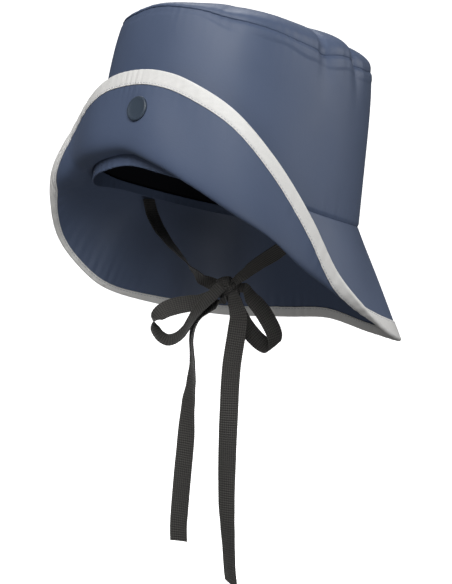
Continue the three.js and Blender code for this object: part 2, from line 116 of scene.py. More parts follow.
sectionColumns = ["turn", "seamLift", "topLift", "puff", "kneeOut", "kneeUp", "edgeOut", "edgeUp"]
sections = np.array([
    [0, 0.13, 0.035, 0.3, 0.16, 0.16, 0.071, 0.86],
    [20, 0.1, 0.03, 0.4, 0.17, 0.01, 0.093, 0.84],
    [35, 0.07, 0.015, 0.65, 0.17, -0.19, 0.17, 0.73],
    [47, 0.04, 0, 0.75, 0.19, -0.35, 0.23, 0.57],
    [60, 0.01, -0.015, 0.85, 0.2, -0.5, 0.295, 0.27],
    [75, -0.01, -0.04, 0.95, 0.2, -0.68, 0.335, -0.13],
    [90, -0.025, -0.045, 1, 0.25, -0.76, 0.36, -0.51],
    [105, -0.03, -0.02, 1, 0.31, -0.84, 0.45, -0.78],
    [120, -0.025, -0.045, 1, 0.36, -0.81, 0.5, -0.93],
    [140, -0.01, 0, 1, 0.29, -0.51, 0.56, -0.96],
    [160, 0, 0, 1, 0.26, -0.43, 0.54, -0.91],
    [180, 0, 0, 1, 0.23, -0.37, 0.43, -0.83],
    [200, 0, 0, 1, 0.2, -0.4, 0.38, -0.885],
    [225, 0, 0, 0.95, 0.18, -0.43, 0.37, -0.975],
    [255, 0, 0, 0.85, 0.2, -0.43, 0.39, -0.97],
    [270, 0, 0, 0.75, 0.24, -0.4, 0.43, -0.91],
    [280, 0, 0, 0.65, 0.32, -0.34, 0.48, -0.78],
    [290, 0, 0, 0.55, 0.38, -0.26, 0.52, -0.58],
    [300, 0.01, -0.03, 0.45, 0.38, -0.2, 0.47, -0.32],
    [310, 0.02, -0.05, 0.4, 0.3, -0.12, 0.39, 0.03],
    [320, 0.04, -0.05, 0.35, 0.21, 0.04, 0.2, 0.44],
    [340, 0.09, -0.01, 0.3, 0.17, 0.14, 0.103, 0.76],
])

# Dents at the top seam: turn and spread in degrees, depth as a share of topRise
dents = [(39, 8, 0.1), (88.5, 4.5, 0.2), (111, 4, 0.24), (315, 7, 0.2)]


def apart(turn, place):
    return (turn - place + 180) % 360 - 180


def column(name, turn):
    # Smooth all the way round through the table's rows
    turn = np.asarray(turn, float) % 360
    at = sections[:, 0]
    value = sections[:, sectionColumns.index(name)]
    count = len(at)
    start = np.searchsorted(at, turn, side="right") - 1
    knotAt = [at[(start + k) % count] + 360 * ((start + k) // count) for k in (-1, 0, 1, 2)]
    knot = [value[(start + k) % count] for k in (-1, 0, 1, 2)]
    span = knotAt[2] - knotAt[1]
    part = (turn - knotAt[1]) / span
    slopeFrom = (knot[2] - knot[0]) / (knotAt[2] - knotAt[0]) * span
    slopeTo = (knot[3] - knot[1]) / (knotAt[3] - knotAt[1]) * span
    square, cube = part**2, part**3
    return (knot[1] * (2 * cube - 3 * square + 1) + slopeFrom * (cube - 2 * square + part)
            + knot[2] * (3 * square - 2 * cube) + slopeTo * (cube - square))


def dentDepth(turn):
    return sum(hat["topRise"] * depth * np.exp(-(apart(turn, place) / spread)**2)
               for place, spread, depth in dents)


def oval(length, width, turn):
    side, front = np.sin(turn * radian), -np.cos(turn * radian)
    power = hat["squareness"]
    swell = (abs(side)**power + abs(front)**power)**(-1 / power)
    return np.stack([width / 2 * side * swell, length / 2 * front * swell], -1)


def outward(turn):
    side, front = np.sin(turn * radian), -np.cos(turn * radian)
    power = hat["squareness"] - 1
    way = np.stack([np.sign(side) * abs(side)**power / hat["seamWidth"],
                    np.sign(front) * abs(front)**power / hat["seamLength"]], -1)
    return way / np.linalg.norm(way, axis=-1, keepdims=True)


def sidePoint(turn, height):
    turn, height = np.broadcast_arrays(np.asarray(turn, float), np.asarray(height, float))
    thick = hat["clothThick"]
    low = seamOval(turn)
    high = oval(hat["topLength"] - thick, hat["topWidth"] - thick, turn)
    share = hat["shoulderShare"]
    inward = (1 - share) * height + share * height**hat["shoulderPower"]
    dent = dentDepth(turn) * height**hat["dentPower"]
    place = low + (high - low) * inward[..., None] - outward(turn) * dent[..., None]
    lowLevel = hat["crownHeight"] * column("seamLift", turn)
    highLevel = hat["crownHeight"] * (1 + column("topLift", turn))
    level = lowLevel + (highLevel - lowLevel) * height - dent / 2
    return np.stack([place[..., 0], place[..., 1] - hat["crownLean"] * height, level], -1)


def topPoint(turn, reach):
    turn, reach = np.broadcast_arrays(np.asarray(turn, float), np.asarray(reach, float))
    rim = sidePoint(turn, 1)
    # The dents fade out a short way in from the seam
    eased = dentDepth(turn) * (1 - reach**5)
    rim[..., :2] += outward(turn) * eased[..., None]
    rim[..., 2] += eased / 2
    puff = 1 + (column("puff", turn) - 1) * reach**2
    swell = hat["topRise"] * puff * np.sqrt(np.maximum(1 - reach**5, 0))
    level = hat["crownHeight"] + (rim[..., 2] - hat["crownHeight"]) * reach**2
    raised = hat["clothThick"] / 2 + hat["gap"]
    lean = hat["crownLean"]
    return np.stack([rim[..., 0] * reach, -lean + (rim[..., 1] + lean) * reach, level + swell + raised], -1)


def wallDrift(turn, level):
    low = column("seamLift", turn)
    high = 1 + column("topLift", turn)
    height = np.clip((level / hat["crownHeight"] - low) / (high - low), 0, 1)
    away = sidePoint(turn, height) - sidePoint(turn, 0)
    return (away[..., :2] * outward(turn)).sum(-1)


def brimGuides(turn):
    # The four points that guide the brim's section at each turn: millimetres out from the seam, and up
    seamLevel = hat["crownHeight"] * column("seamLift", turn)
    start = np.stack([0 * turn, seamLevel - hat["gap"] - hat["clothThick"] / 2], -1)
    knee = np.stack([column("kneeOut", turn), column("kneeUp", turn)], -1) * hat["brimWidth"]
    edge = np.stack([column("edgeOut", turn), column("edgeUp", turn)], -1) * hat["brimWidth"]
    knee[:, 0] += wallDrift(turn, knee[:, 1])
    edge[:, 0] += wallDrift(turn, edge[:, 1])
    pull = hat["brimPull"]
    return start, start + (knee - start) * pull, edge + (knee - edge) * pull, edge


def brimCurve(guides, part):
    start, first, second, edge = guides
    return ((1 - part)**3 * start + 3 * (1 - part)**2 * part * first
            + 3 * (1 - part) * part**2 * second + part**3 * edge)


def seamOval(turn):
    return oval(hat["seamLength"] - hat["clothThick"], hat["seamWidth"] - hat["clothThick"], turn)


def brimMiddle(turn, fromEdge, steps=240):
    # Points of the brim's middle at each turn, by distance in millimetres from the edge along the cloth
    curve = brimCurve(brimGuides(turn), np.linspace(0, 1, steps)[:, None, None])
    length = np.concatenate([np.zeros((1, len(turn))),
                             np.cumsum(np.linalg.norm(np.diff(curve, axis=0), axis=-1), axis=0)])
    spots = np.empty((len(fromEdge), len(turn), 2))
    for index in range(len(turn)):
        total = length[-1, index]
        wanted = np.where(fromEdge >= 0, total - fromEdge, 0)
        # A negative distance is a share of the whole width from the seam
        wanted = np.where(fromEdge < 0, (fromEdge + 1) * (total - bindingSize["fineRows"]), wanted)
        for axis in (0, 1):
            spots[:, index, axis] = np.interp(wanted, length[:, index], curve[:, index, axis])
    flat = seamOval(turn) + outward(turn) * spots[..., :1]
    return np.concatenate([flat, spots[..., 1:]], -1)


def gridNormals(points):
    # Outward normals of a grid of rows by stations that closes round the hat
    around = np.roll(points, -1, 1) - np.roll(points, 1, 1)
    up = np.gradient(points, axis=0)
    normal = np.cross(around, up)
    return normal / np.maximum(np.linalg.norm(normal, axis=-1, keepdims=True), 1e-9)


def ripple(turn, seed, low, high, count=9):
    # A smooth closed wave of about unit height, from whole numbers of waves round the hat
    chance = np.random.default_rng(seed)
    waves = chance.integers(low, high, count)
    phases = chance.uniform(0, 2 * math.pi, count)
    total = sum(np.sin(wave * turn * radian + phase) for wave, phase in zip(waves, phases))
    return total / math.sqrt(count / 2)


def tilted(points):
    # The hat is tipped back about the head opening
    turn = -hat["tiltBack"] * radian
    y = points[..., 1] * math.cos(turn) - points[..., 2] * math.sin(turn)
    z = points[..., 1] * math.sin(turn) + points[..., 2] * math.cos(turn)
    return np.stack([points[..., 0], y, z], -1)


def gridObject(name, points, closeRows=False, closeColumns=True, poles=(None, None), material=None,
               backing=None, backRows=(0, 0)):
    # A smooth mesh from rows of points in millimetres, with a UV map in metres along both ways
    rows, columns = points.shape[:2]
    vertices = points.reshape(-1, 3) * mm
    across = np.linalg.norm(np.diff(points, axis=0, append=points[:1]), axis=-1).mean(1)
    along = np.linalg.norm(np.diff(points, axis=1, append=points[:, :1]), axis=-1).mean(0)
    rowAt = np.concatenate([[0], np.cumsum(across)]) * mm
    columnAt = np.concatenate([[0], np.cumsum(along)]) * mm
    row = np.arange(rows if closeRows else rows - 1)
    spot = np.arange(columns if closeColumns else columns - 1)
    r, c = np.meshgrid(row, spot, indexing="ij")
    r, c = r.ravel(), c.ravel()
    nextRow, nextColumn = (r + 1) % rows, (c + 1) % columns
    faces = np.stack([r * columns + c, r * columns + nextColumn,
                      nextRow * columns + nextColumn, nextRow * columns + c], -1)
    uv = np.stack([
        np.stack([columnAt[c], rowAt[r]], -1), np.stack([columnAt[c + 1], rowAt[r]], -1),
        np.stack([columnAt[c + 1], rowAt[r + 1]], -1), np.stack([columnAt[c], rowAt[r + 1]], -1)], 1)
    faceList = faces.tolist()
    uvList = uv.reshape(-1, 2)
    extra = []
    rowOf = r.tolist()
    for pole, ring, flip in ((poles[0], 0, True), (poles[1], rows - 1, False)):
        if pole is None:
            continue
        vertices = np.concatenate([vertices, np.asarray(pole)[None] * mm])
        tip = len(vertices) - 1
        for index in range(columns):
            one, two = ring * columns + index, ring * columns + (index + 1) % columns
            faceList.append([two, one, tip] if flip else [one, two, tip])
            extra += [[0, 0]] * 3
            rowOf.append(ring)
    if not closeColumns:
        for index, flip in ((0, False), (columns - 1, True)):
            cap = [k * columns + index for k in range(rows)]
            faceList.append(cap[::-1] if flip else cap)
            rowOf.append(rows)
            extra += [[0, 0]] * rows
    if extra:
        uvList = np.concatenate([uvList, np.array(extra, float)])
    mesh = bpy.data.meshes.new(name)
    mesh.from_pydata(vertices.tolist(), [], faceList)
    layer = mesh.uv_layers.new(name="cloth")
    layer.data.foreach_set("uv", uvList.ravel())
    mesh.shade_smooth()
    if material:
        mesh.materials.append(material)
    if backing:
        mesh.materials.append(backing)
        rowOf = np.array(rowOf)
        behind = (rowOf >= backRows[0]) & (rowOf < backRows[1])
        mesh.polygons.foreach_set("material_index", behind.astype(int))
    mesh.update()
    piece = bpy.data.objects.new(name, mesh)
    bpy.context.collection.objects.link(piece)
    return piece


def wallLoop(middle, thick, normals=None, rounding=4):
    # Closed profile of a wall round the hat: outer skin, rounded rim, inner skin, rounded rim
    normals = gridNormals(middle) if normals is None else normals
    outer = middle + normals * thick / 2
    inner = middle - normals * thick / 2

    def rim(row, beyond):
        way = middle[row] - middle[beyond]
        way /= np.linalg.norm(way, axis=-1, keepdims=True)
        angles = np.linspace(0, math.pi, rounding + 2)[1:-1]
        return [middle[row] + normals[row] * math.cos(angle) * thick / 2 + way * math.sin(angle) * thick / 2
                for angle in angles]

    top = rim(-1, -2)
    bottom = rim(0, 1)[::-1]
    return np.concatenate([outer, np.array(top), inner[::-1], np.array(bottom)])


# Materials
def linear(code):
    # sRGB hex to linear colour
    values = [((code >> shift) & 255) / 255 for shift in (16, 8, 0)]
    return [v / 12.92 if v <= 0.04045 else ((v + 0.055) / 1.055)**2.4 for v in values] + [1]


def addNode(tree, kind, settings=None, links=None):
    node = tree.nodes.new(kind)
    for name, value in (settings or {}).items():
        if name in node.inputs:
            node.inputs[name].default_value = value
        else:
            setattr(node, name, value)
    for name, source in (links or {}).items():
        tree.links.new(source, node.inputs[name])
    return node


def newMaterial(name):
    material = bpy.data.materials.new(name)
    material.use_nodes = True
    tree = material.node_tree
    tree.nodes.clear()
    output = addNode(tree, "ShaderNodeOutputMaterial")
    return material, tree, output


coatedCloth = {
    "colour": 0x505D77,
    "colourDeep": 0x49566F,
    "mottleSize": 35,          # mm, slow change of tone where the coating is thicker
    "grainSize": 0.9,          # mm, the knit backing telegraphing through; the real one is about 0.4 mm
    "creaseSize": 9,           # mm, soft handling marks
    "roughness": 0.54,
}


def makeCoatedCloth():
    # Polyester knit with a calendered polyurethane face: smooth, semi-matte, a broad soft highlight
    material, tree, output = newMaterial("polyurethane-coated polyester")
    place = addNode(tree, "ShaderNodeTexCoord").outputs["Object"]
    mottle = addNode(tree, "ShaderNodeTexNoise",
                     {"Scale": 1000 / coatedCloth["mottleSize"], "Detail": 3.0, "Roughness": 0.55},
                     {"Vector": place})
    tone = addNode(tree, "ShaderNodeMix", {"data_type": "RGBA"})
    tone.inputs[6].default_value = linear(coatedCloth["colourDeep"])
    tone.inputs[7].default_value = linear(coatedCloth["colour"])
    tree.links.new(mottle.outputs["Fac"], tone.inputs[0])
    grain = addNode(tree, "ShaderNodeTexVoronoi",
                    {"Scale": 1000 / coatedCloth["grainSize"], "feature": "SMOOTH_F1"}, {"Vector": place})
    crease = addNode(tree, "ShaderNodeTexNoise",
                     {"Scale": 1000 / coatedCloth["creaseSize"], "Detail": 4.0, "Distortion": 0.6},
                     {"Vector": place})
    fine = addNode(tree, "ShaderNodeBump", {"Strength": 0.12, "Distance": 0.0002},
                   {"Height": grain.outputs["Distance"]})
    soft = addNode(tree, "ShaderNodeBump", {"Strength": 0.1, "Distance": 0.0008},
                   {"Height": crease.outputs["Fac"], "Normal": fine.outputs["Normal"]})
    rough = addNode(tree, "ShaderNodeMapRange",
                    {"From Min": 0.3, "From Max": 0.7, "To Min": coatedCloth["roughness"] - 0.05,
                     "To Max": coatedCloth["roughness"] + 0.05}, {"Value": mottle.outputs["Fac"]})
    shader = addNode(tree, "ShaderNodeBsdfPrincipled", {"IOR": 1.5},
                     {"Base Color": tone.outputs[2], "Roughness": rough.outputs["Result"],
                      "Normal": soft.outputs["Normal"]})
    tree.links.new(shader.outputs["BSDF"], output.inputs["Surface"])
    return material


reflectiveTape = {
    "colour": 0xEDECEA,
    "colourDeep": 0xDCDBD8,
    # The bead speckle is the bead face's fine grain and also the tape's painted sparkle
    "beadSize": 0.5,           # mm, the glass bead coating; real beads are 0.05 mm
    "threadSpacing": 0.8,      # mm, backing weave; the real one is about 0.3 mm
    "roughness": 0.42,
}


def makeReflectiveTape():
    # Polyester tape with a bonded glass-bead face: pale silver grey, satin; its faint sparkle is painted into
    # the colour as fine lighter and darker specks
    material, tree, output = newMaterial("retroreflective tape")
    coord = addNode(tree, "ShaderNodeTexCoord")
    beads = addNode(tree, "ShaderNodeTexNoise",
                    {"Scale": 1000 / reflectiveTape["beadSize"], "Detail": 2.0},
                    {"Vector": coord.outputs["Object"]})
    # Bead speckle: the bead face's fine grain, with its lighter specks as painted glints
    tone = addNode(tree, "ShaderNodeMix", {"data_type": "RGBA"})
    tone.inputs[6].default_value = linear(reflectiveTape["colourDeep"])
    tone.inputs[7].default_value = linear(reflectiveTape["colour"])
    tree.links.new(beads.outputs["Fac"], tone.inputs[0])
    weave = addNode(tree, "ShaderNodeTexWave",
                    {"Scale": 1000 / reflectiveTape["threadSpacing"] / 20, "bands_direction": "DIAGONAL",
                     "Distortion": 0.5}, {"Vector": coord.outputs["UV"]})
    bump = addNode(tree, "ShaderNodeBump", {"Strength": 0.08, "Distance": 0.0002},
                   {"Height": weave.outputs["Fac"]})
    shader = addNode(tree, "ShaderNodeBsdfPrincipled",
                     {"Roughness": reflectiveTape["roughness"], "IOR": 1.5},
                     {"Base Color": tone.outputs[2], "Normal": bump.outputs["Normal"]})
    tree.links.new(shader.outputs["BSDF"], output.inputs["Surface"])
    return material


grosgrain = {
    # colour is the charcoal with painted highlights on the rib crests and warp floats, colourDeep the
    # charcoal in painted shade in the grooves
    "colour": 0x494744,
    "colourDeep": 0x161615,
    "ribPitch": 1.6,           # mm
    "warpSpacing": 1.25,       # mm, warp floats over each rib; the real ones are about 0.5 mm
}


def makeGrosgrain():
    # Woven polyester ribbon with cross ribs: charcoal, matte, a faint sheen along the threads; its colour has
    # painted highlights on the rib crests and warp floats and painted shade in the grooves between them
    material, tree, output = newMaterial("grosgrain ribbon")
    coord = addNode(tree, "ShaderNodeTexCoord").outputs["UV"]
    split = addNode(tree, "ShaderNodeSeparateXYZ", {}, {"Vector": coord})
    warp = addNode(tree, "ShaderNodeMath", {"operation": "MULTIPLY"}, {0: split.outputs["Y"]})
    warp.inputs[1].default_value = 2 * math.pi * 1000 / grosgrain["warpSpacing"]
    wave = addNode(tree, "ShaderNodeMath", {"operation": "SINE"}, {0: warp.outputs[0]})
    rib = addNode(tree, "ShaderNodeMath", {"operation": "MULTIPLY"}, {0: split.outputs["X"]})
    rib.inputs[1].default_value = 2 * math.pi * 1000 / grosgrain["ribPitch"]
    ribCrestShade = addNode(tree, "ShaderNodeMath", {"operation": "COSINE"}, {0: rib.outputs[0]})
    # Painted highlight and shade: the tone is lighter on the rib crests and warp floats, darker in the
    # grooves between them
    weave = addNode(tree, "ShaderNodeMath", {"operation": "ADD"}, {0: ribCrestShade.outputs[0], 1: wave.outputs[0]})
    light = addNode(tree, "ShaderNodeMapRange", {"From Min": -1.7, "From Max": 1.7},
                    {"Value": weave.outputs[0]})
    tone = addNode(tree, "ShaderNodeMix", {"data_type": "RGBA"})
    tone.inputs[6].default_value = linear(grosgrain["colourDeep"])
    tone.inputs[7].default_value = linear(grosgrain["colour"])
    tree.links.new(light.outputs["Result"], tone.inputs[0])
    bump = addNode(tree, "ShaderNodeBump", {"Strength": 0.35, "Distance": 0.0001},
                   {"Height": wave.outputs[0]})
    shader = addNode(tree, "ShaderNodeBsdfPrincipled",
                     {"Roughness": 0.75, "Sheen Weight": 0.25, "Sheen Roughness": 0.4},
                     {"Base Color": tone.outputs[2], "Normal": bump.outputs["Normal"]})
    tree.links.new(shader.outputs["BSDF"], output.inputs["Surface"])
    return material


knitBacking = {
    "colour": 0x15161C,
    "colourDeep": 0x0E0F13,
    "fuzzSize": 0.8,           # mm
}


def makeKnitBacking():
    # The back of the coated cloth: brushed warp knit, near black, matte and slightly fuzzy
    material, tree, output = newMaterial("brushed polyester knit")
    place = addNode(tree, "ShaderNodeTexCoord").outputs["Object"]
    fuzz = addNode(tree, "ShaderNodeTexNoise", {"Scale": 1000 / knitBacking["fuzzSize"], "Detail": 3.0},
                   {"Vector": place})
    tone = addNode(tree, "ShaderNodeMix", {"data_type": "RGBA"})
    tone.inputs[6].default_value = linear(knitBacking["colourDeep"])
    tone.inputs[7].default_value = linear(knitBacking["colour"])
    tree.links.new(fuzz.outputs["Fac"], tone.inputs[0])
    bump = addNode(tree, "ShaderNodeBump", {"Strength": 0.3, "Distance": 0.0003},
                   {"Height": fuzz.outputs["Fac"]})
    shader = addNode(tree, "ShaderNodeBsdfPrincipled", {"Roughness": 0.95, "Specular IOR Level": 0.15},
                     {"Base Color": tone.outputs[2], "Normal": bump.outputs["Normal"]})
    tree.links.new(shader.outputs["BSDF"], output.inputs["Surface"])
    return material


snapFinish = {
    "colour": 0x394451,
    "roughness": 0.36,
    "grainSize": 0.4,          # mm, the mould's fine texture
}


def makeSnapPlastic():
    # Moulded acetal cap in the cloth's colour: smooth, slightly darker, satin
    material, tree, output = newMaterial("moulded acetal")
    place = addNode(tree, "ShaderNodeTexCoord").outputs["Object"]
    grain = addNode(tree, "ShaderNodeTexNoise", {"Scale": 1000 / snapFinish["grainSize"], "Detail": 2.0},
                    {"Vector": place})
    bump = addNode(tree, "ShaderNodeBump", {"Strength": 0.05, "Distance": 0.0001},
                   {"Height": grain.outputs["Fac"]})
    shader = addNode(tree, "ShaderNodeBsdfPrincipled",
                     {"Base Color": linear(snapFinish["colour"]), "Roughness": snapFinish["roughness"],
                      "IOR": 1.48},
                     {"Normal": bump.outputs["Normal"]})
    tree.links.new(shader.outputs["BSDF"], output.inputs["Surface"])
    return material


def makeThread(name, colour):
    # Spun polyester sewing thread
    material, tree, output = newMaterial(name)
    shader = addNode(tree, "ShaderNodeBsdfPrincipled",
                     {"Base Color": linear(colour), "Roughness": 0.7, "Sheen Weight": 0.2})
    tree.links.new(shader.outputs["BSDF"], output.inputs["Surface"])
    return material


cloth = makeCoatedCloth()
tape = makeReflectiveTape()
knit = makeKnitBacking()
ribbonCloth = makeGrosgrain()
snapPlastic = makeSnapPlastic()
paleThread = makeThread("pale sewing thread", 0xB4B6BE)
print("materials ready")


# Ribbon ties: each is one length of ribbon from the crown through the knot, round a loop and out to its end
ribbonSize = {
    "width": 12,
    "thick": 0.55,
    "ribHeight": 0.2,
    "ribPitch": 1.6,
    "selvage": 0.12,           # how much the woven edge is thicker
    "selvageFrom": 0.84,       # of the half width
    "selvageTo": 0.9,
    "edgeFrom": 0.97,
    "edgeWave": 0.06,
    "perRib": 6,               # rows of points for each rib
    "pathPoints": 40,
    "slantReach": 14,
    "cup": 0.05,               # how far the middle stands off, as a share of the width
    "knotHalf": np.array([9, 7, 6.0]),
    "knotPlace": np.array([1, 0.6, -56.4]),
    "knotLead": 3,
    "bowTurn": 45,
}


def fromBow(points):
    # The bow's frame (across, up, forward) is turned half left about the knot
    turn = ribbonSize["bowTurn"] * radian
    across, up, forward = points[..., 0], points[..., 1], points[..., 2]
    x = across * math.cos(turn) + forward * math.sin(turn)
    y = across * math.sin(turn) - forward * math.cos(turn)
    return np.stack([x, y, up], -1)


def atKnot(direction, widthWay, share):
    half = ribbonSize["knotHalf"]
    ray = np.array(direction, float)
    face = ray / np.linalg.norm(ray / half)
    normal = face / half / half
    normal /= np.linalg.norm(normal)
    width = np.array(widthWay, float)
    width -= normal * width.dot(normal)
    width /= np.linalg.norm(width)
    lead = hat["gap"] + ribbonSize["knotLead"]
    return [[*(face + normal * distance), *width, share] for distance in (hat["gap"], lead)]


# Rows: across, up and forward from the knot's middle, the direction of the width, and its share of the width
rightRoute = [
    [-52.5, 52.4, -51.9, 0.55, 0, -0.83, 1],
    [-50.2, 43.5, -49, 0.55, 0.1, -0.83, 1],
    [-45, 33.5, -41.5, 0.45, 0.1, -0.88, 1],
    [-38.4, 25.3, -33.5, 0.25, 0.05, -0.97, 1],
    [-30.8, 17.6, -25.5, 0.08, 0, -1, 1],
    [-24, 10.2, -18, -0.15, -0.1, -0.98, 0.95],
    [-16.8, 4, -11.5, -0.45, -0.45, -0.75, 0.85],
    *atKnot([-0.75, 0.08, -0.65], [-0.4, -0.9, 0], 0.6)[::-1],
    *atKnot([-0.95, -0.35, -0.25], [0, 0.9, -0.4], 0.5),
    [-17, -8.5, -3.5, 0, 0.84, -0.54, 0.75],
    [-24.5, -10.4, -3, 0, 0.84, -0.54, 0.95],
    [-33, -11.8, -2, 0, 0.82, -0.56, 1],
    [-41, -14.6, -0.5, 0, 0.78, -0.62, 1],
    [-46.3, -19, 0.5, 0.05, 0.72, -0.69, 1],
    [-47, -24.2, 1.5, 0.08, 0.6, -0.8, 1],
    [-43.6, -30.2, 2.5, 0.05, 0.48, -0.87, 1],
    [-38.5, -33, 3, 0.02, 0.45, -0.89, 1],
    [-33.5, -31.8, 3.5, 0, 0.45, -0.89, 1],
    [-28.5, -27.6, 4.5, -0.05, 0.47, -0.88, 1],
    [-24.8, -21.8, 6, -0.1, 0.48, -0.87, 1],
    [-21.8, -16.6, 7.5, -0.15, 0.5, -0.85, 0.95],
    [-16.7, -10.2, 9, -0.25, 0.5, -0.8, 0.85],
    [-10.5, -4, 9.5, -0.4, 0.55, -0.6, 0.75],
    *atKnot([-0.45, 0.3, 0.85], [-0.6, 0.6, 0], 0.6)[::-1],
    *atKnot([-0.3, -0.75, 0.6], [-0.3, 0.5, 0.8], 0.5),
    [-8.8, -9.8, 5, -0.25, 0.55, -0.8, 0.7],
    [-13.8, -12.8, 4.5, -0.22, 0.45, -0.86, 0.85],
    [-18.2, -16.4, 4.5, -0.2, 0.3, -0.93, 0.95],
    [-21.2, -21.6, 5, -0.2, 0.15, -0.97, 1],
    [-22.8, -27.4, 5.5, -0.2, 0.05, -0.98, 1],
    [-23.4, -33.5, 6, -0.2, 0, -0.98, 1],
    [-23, -40, 6, -0.22, 0, -0.97, 1],
    [-22.7, -48, 6, -0.28, 0, -0.96, 1],
    [-23.6, -61, 6, -0.48, 0, -0.88, 1],
    [-25.4, -74.5, 6, -0.7, 0, -0.71, 1],
    [-27.2, -99.5, 6, -0.92, 0, -0.39, 1],
    [-29.2, -120.5, 6, -0.94, 0, -0.34, 1],
    [-31.2, -143.6, 6, -0.94, 0, -0.34, 1],
    [-32, -155.5, 6, -0.92, 0, -0.39, 1],
    [-31.9, -165, 6, -0.92, 0, -0.39, 1],
]
leftRoute = [
    [49.9, 43.7, 50.8, -0.7, 0, 0.7, 1],
    [48.8, 40.4, 49.4, -0.65, 0.2, 0.73, 1],
    [43, 37, 43, -0.5, 0.45, 0.72, 1],
    [35, 30.7, 35, -0.45, 0.55, 0.7, 1],
    [27, 24, 27, -0.45, 0.6, 0.68, 1],
    [18, 16.9, 17.5, -0.5, 0.6, 0.6, 0.85],
    [12, 11.3, 11, -0.55, 0.6, 0.4, 0.65],
    *atKnot([0.6, 0.55, 0.6], [-0.5, 0.7, 0], 0.45)[::-1],
    *atKnot([0.95, 0.05, 0.25], [-0.2, 0.9, -0.2], 0.5),
    [15, -6, 2.5, -0.45, -0.7, 0.4, 0.8],
    [19, -10.5, 2.5, -0.6, -0.55, 0.5, 0.95],
    [22.7, -15.5, 2.5, -0.7, -0.47, 0.53, 1],
    [26.3, -21.5, 3, -0.7, -0.47, 0.53, 1],
    [29.2, -27.5, 3, -0.7, -0.47, 0.53, 1],
    [30.4, -32.8, 2.5, -0.7, -0.47, 0.53, 1],
    [29.8, -37, 0.3, -0.7, -0.47, 0.53, 1],
    [26.8, -38.8, -2.6, -0.7, -0.47, 0.53, 1],
    [22.7, -37.2, -4.5, -0.7, -0.47, 0.53, 1],
    [18.2, -33.4, -5.2, -0.7, -0.47, 0.53, 1],
    [13.8, -28.4, -5.5, -0.7, -0.47, 0.53, 1],
    [10, -22.4, -5.2, -0.75, -0.4, 0.5, 0.95],
    [7.2, -15.9, -4.5, -0.8, -0.3, 0.4, 0.8],
    *atKnot([0.3, -0.85, -0.4], [1, 0, -0.3], 0.5)[::-1],
    *atKnot([0.45, -0.3, 0.85], [0.9, 0.4, 0], 0.55),
    [5, -9.6, 8, 0.95, 0.3, 0, 0.8],
    [6.8, -16.8, 8.5, 0.98, 0.1, 0, 0.95],
    [6, -25.5, 8.5, 1, 0, 0, 1],
    [4.4, -35.5, 8.5, 1, 0, 0, 1],
    [2.6, -47.5, 8.5, 1, 0, 0, 1],
    [1.5, -60.7, 8.5, 1, 0, 0, 1],
    [0.9, -74, 8.5, 1, 0, 0, 1],
    [-0.3, -105, 8.5, 0.95, 0, 0.3, 1],
    [-0.8, -138, 8.5, 0.86, 0, 0.5, 1],
    [-0.2, -154.5, 8.5, 0.76, 0, 0.65, 1],
    [0.6, -170, 8.5, 0.66, 0, 0.75, 1],
    [1.2, -182.4, 8.5, 0.62, 0.1, 0.78, 1],
    [2.2, -192.8, 8.5, 0.6, 0.2, 0.78, 1],
]


def smoothLine(knots, values, each=24):
    # Centripetal curve through the knots, with the values carried along it
    knots = np.asarray(knots, float)
    values = np.asarray(values, float)
    padded = np.concatenate([2 * knots[:1] - knots[1:2], knots, 2 * knots[-1:] - knots[-2:-1]])
    steps = np.sqrt(np.linalg.norm(np.diff(padded, axis=0), axis=1))
    line, carried = [], []
    for index in range(len(knots) - 1):
        p0, p1, p2, p3 = padded[index:index + 4]
        t0 = 0.0
        t1 = t0 + steps[index]
        t2 = t1 + steps[index + 1]
        t3 = t2 + steps[index + 2]
        last = each + 1 if index == len(knots) - 2 else each
        for part in (np.arange(last) / each):
            t = t1 + (t2 - t1) * part
            a1 = (t1 - t) / (t1 - t0) * p0 + (t - t0) / (t1 - t0) * p1
            a2 = (t2 - t) / (t2 - t1) * p1 + (t - t1) / (t2 - t1) * p2
            a3 = (t3 - t) / (t3 - t2) * p2 + (t - t2) / (t3 - t2) * p3
            b1 = (t2 - t) / (t2 - t0) * a1 + (t - t0) / (t2 - t0) * a2
            b2 = (t3 - t) / (t3 - t1) * a2 + (t - t1) / (t3 - t1) * a3
            line.append((t2 - t) / (t2 - t1) * b1 + (t - t1) / (t2 - t1) * b2)
            ease = part * part * (3 - 2 * part)
            carried.append(values[index] * (1 - ease) + values[index + 1] * ease)
    return np.array(line), np.array(carried)


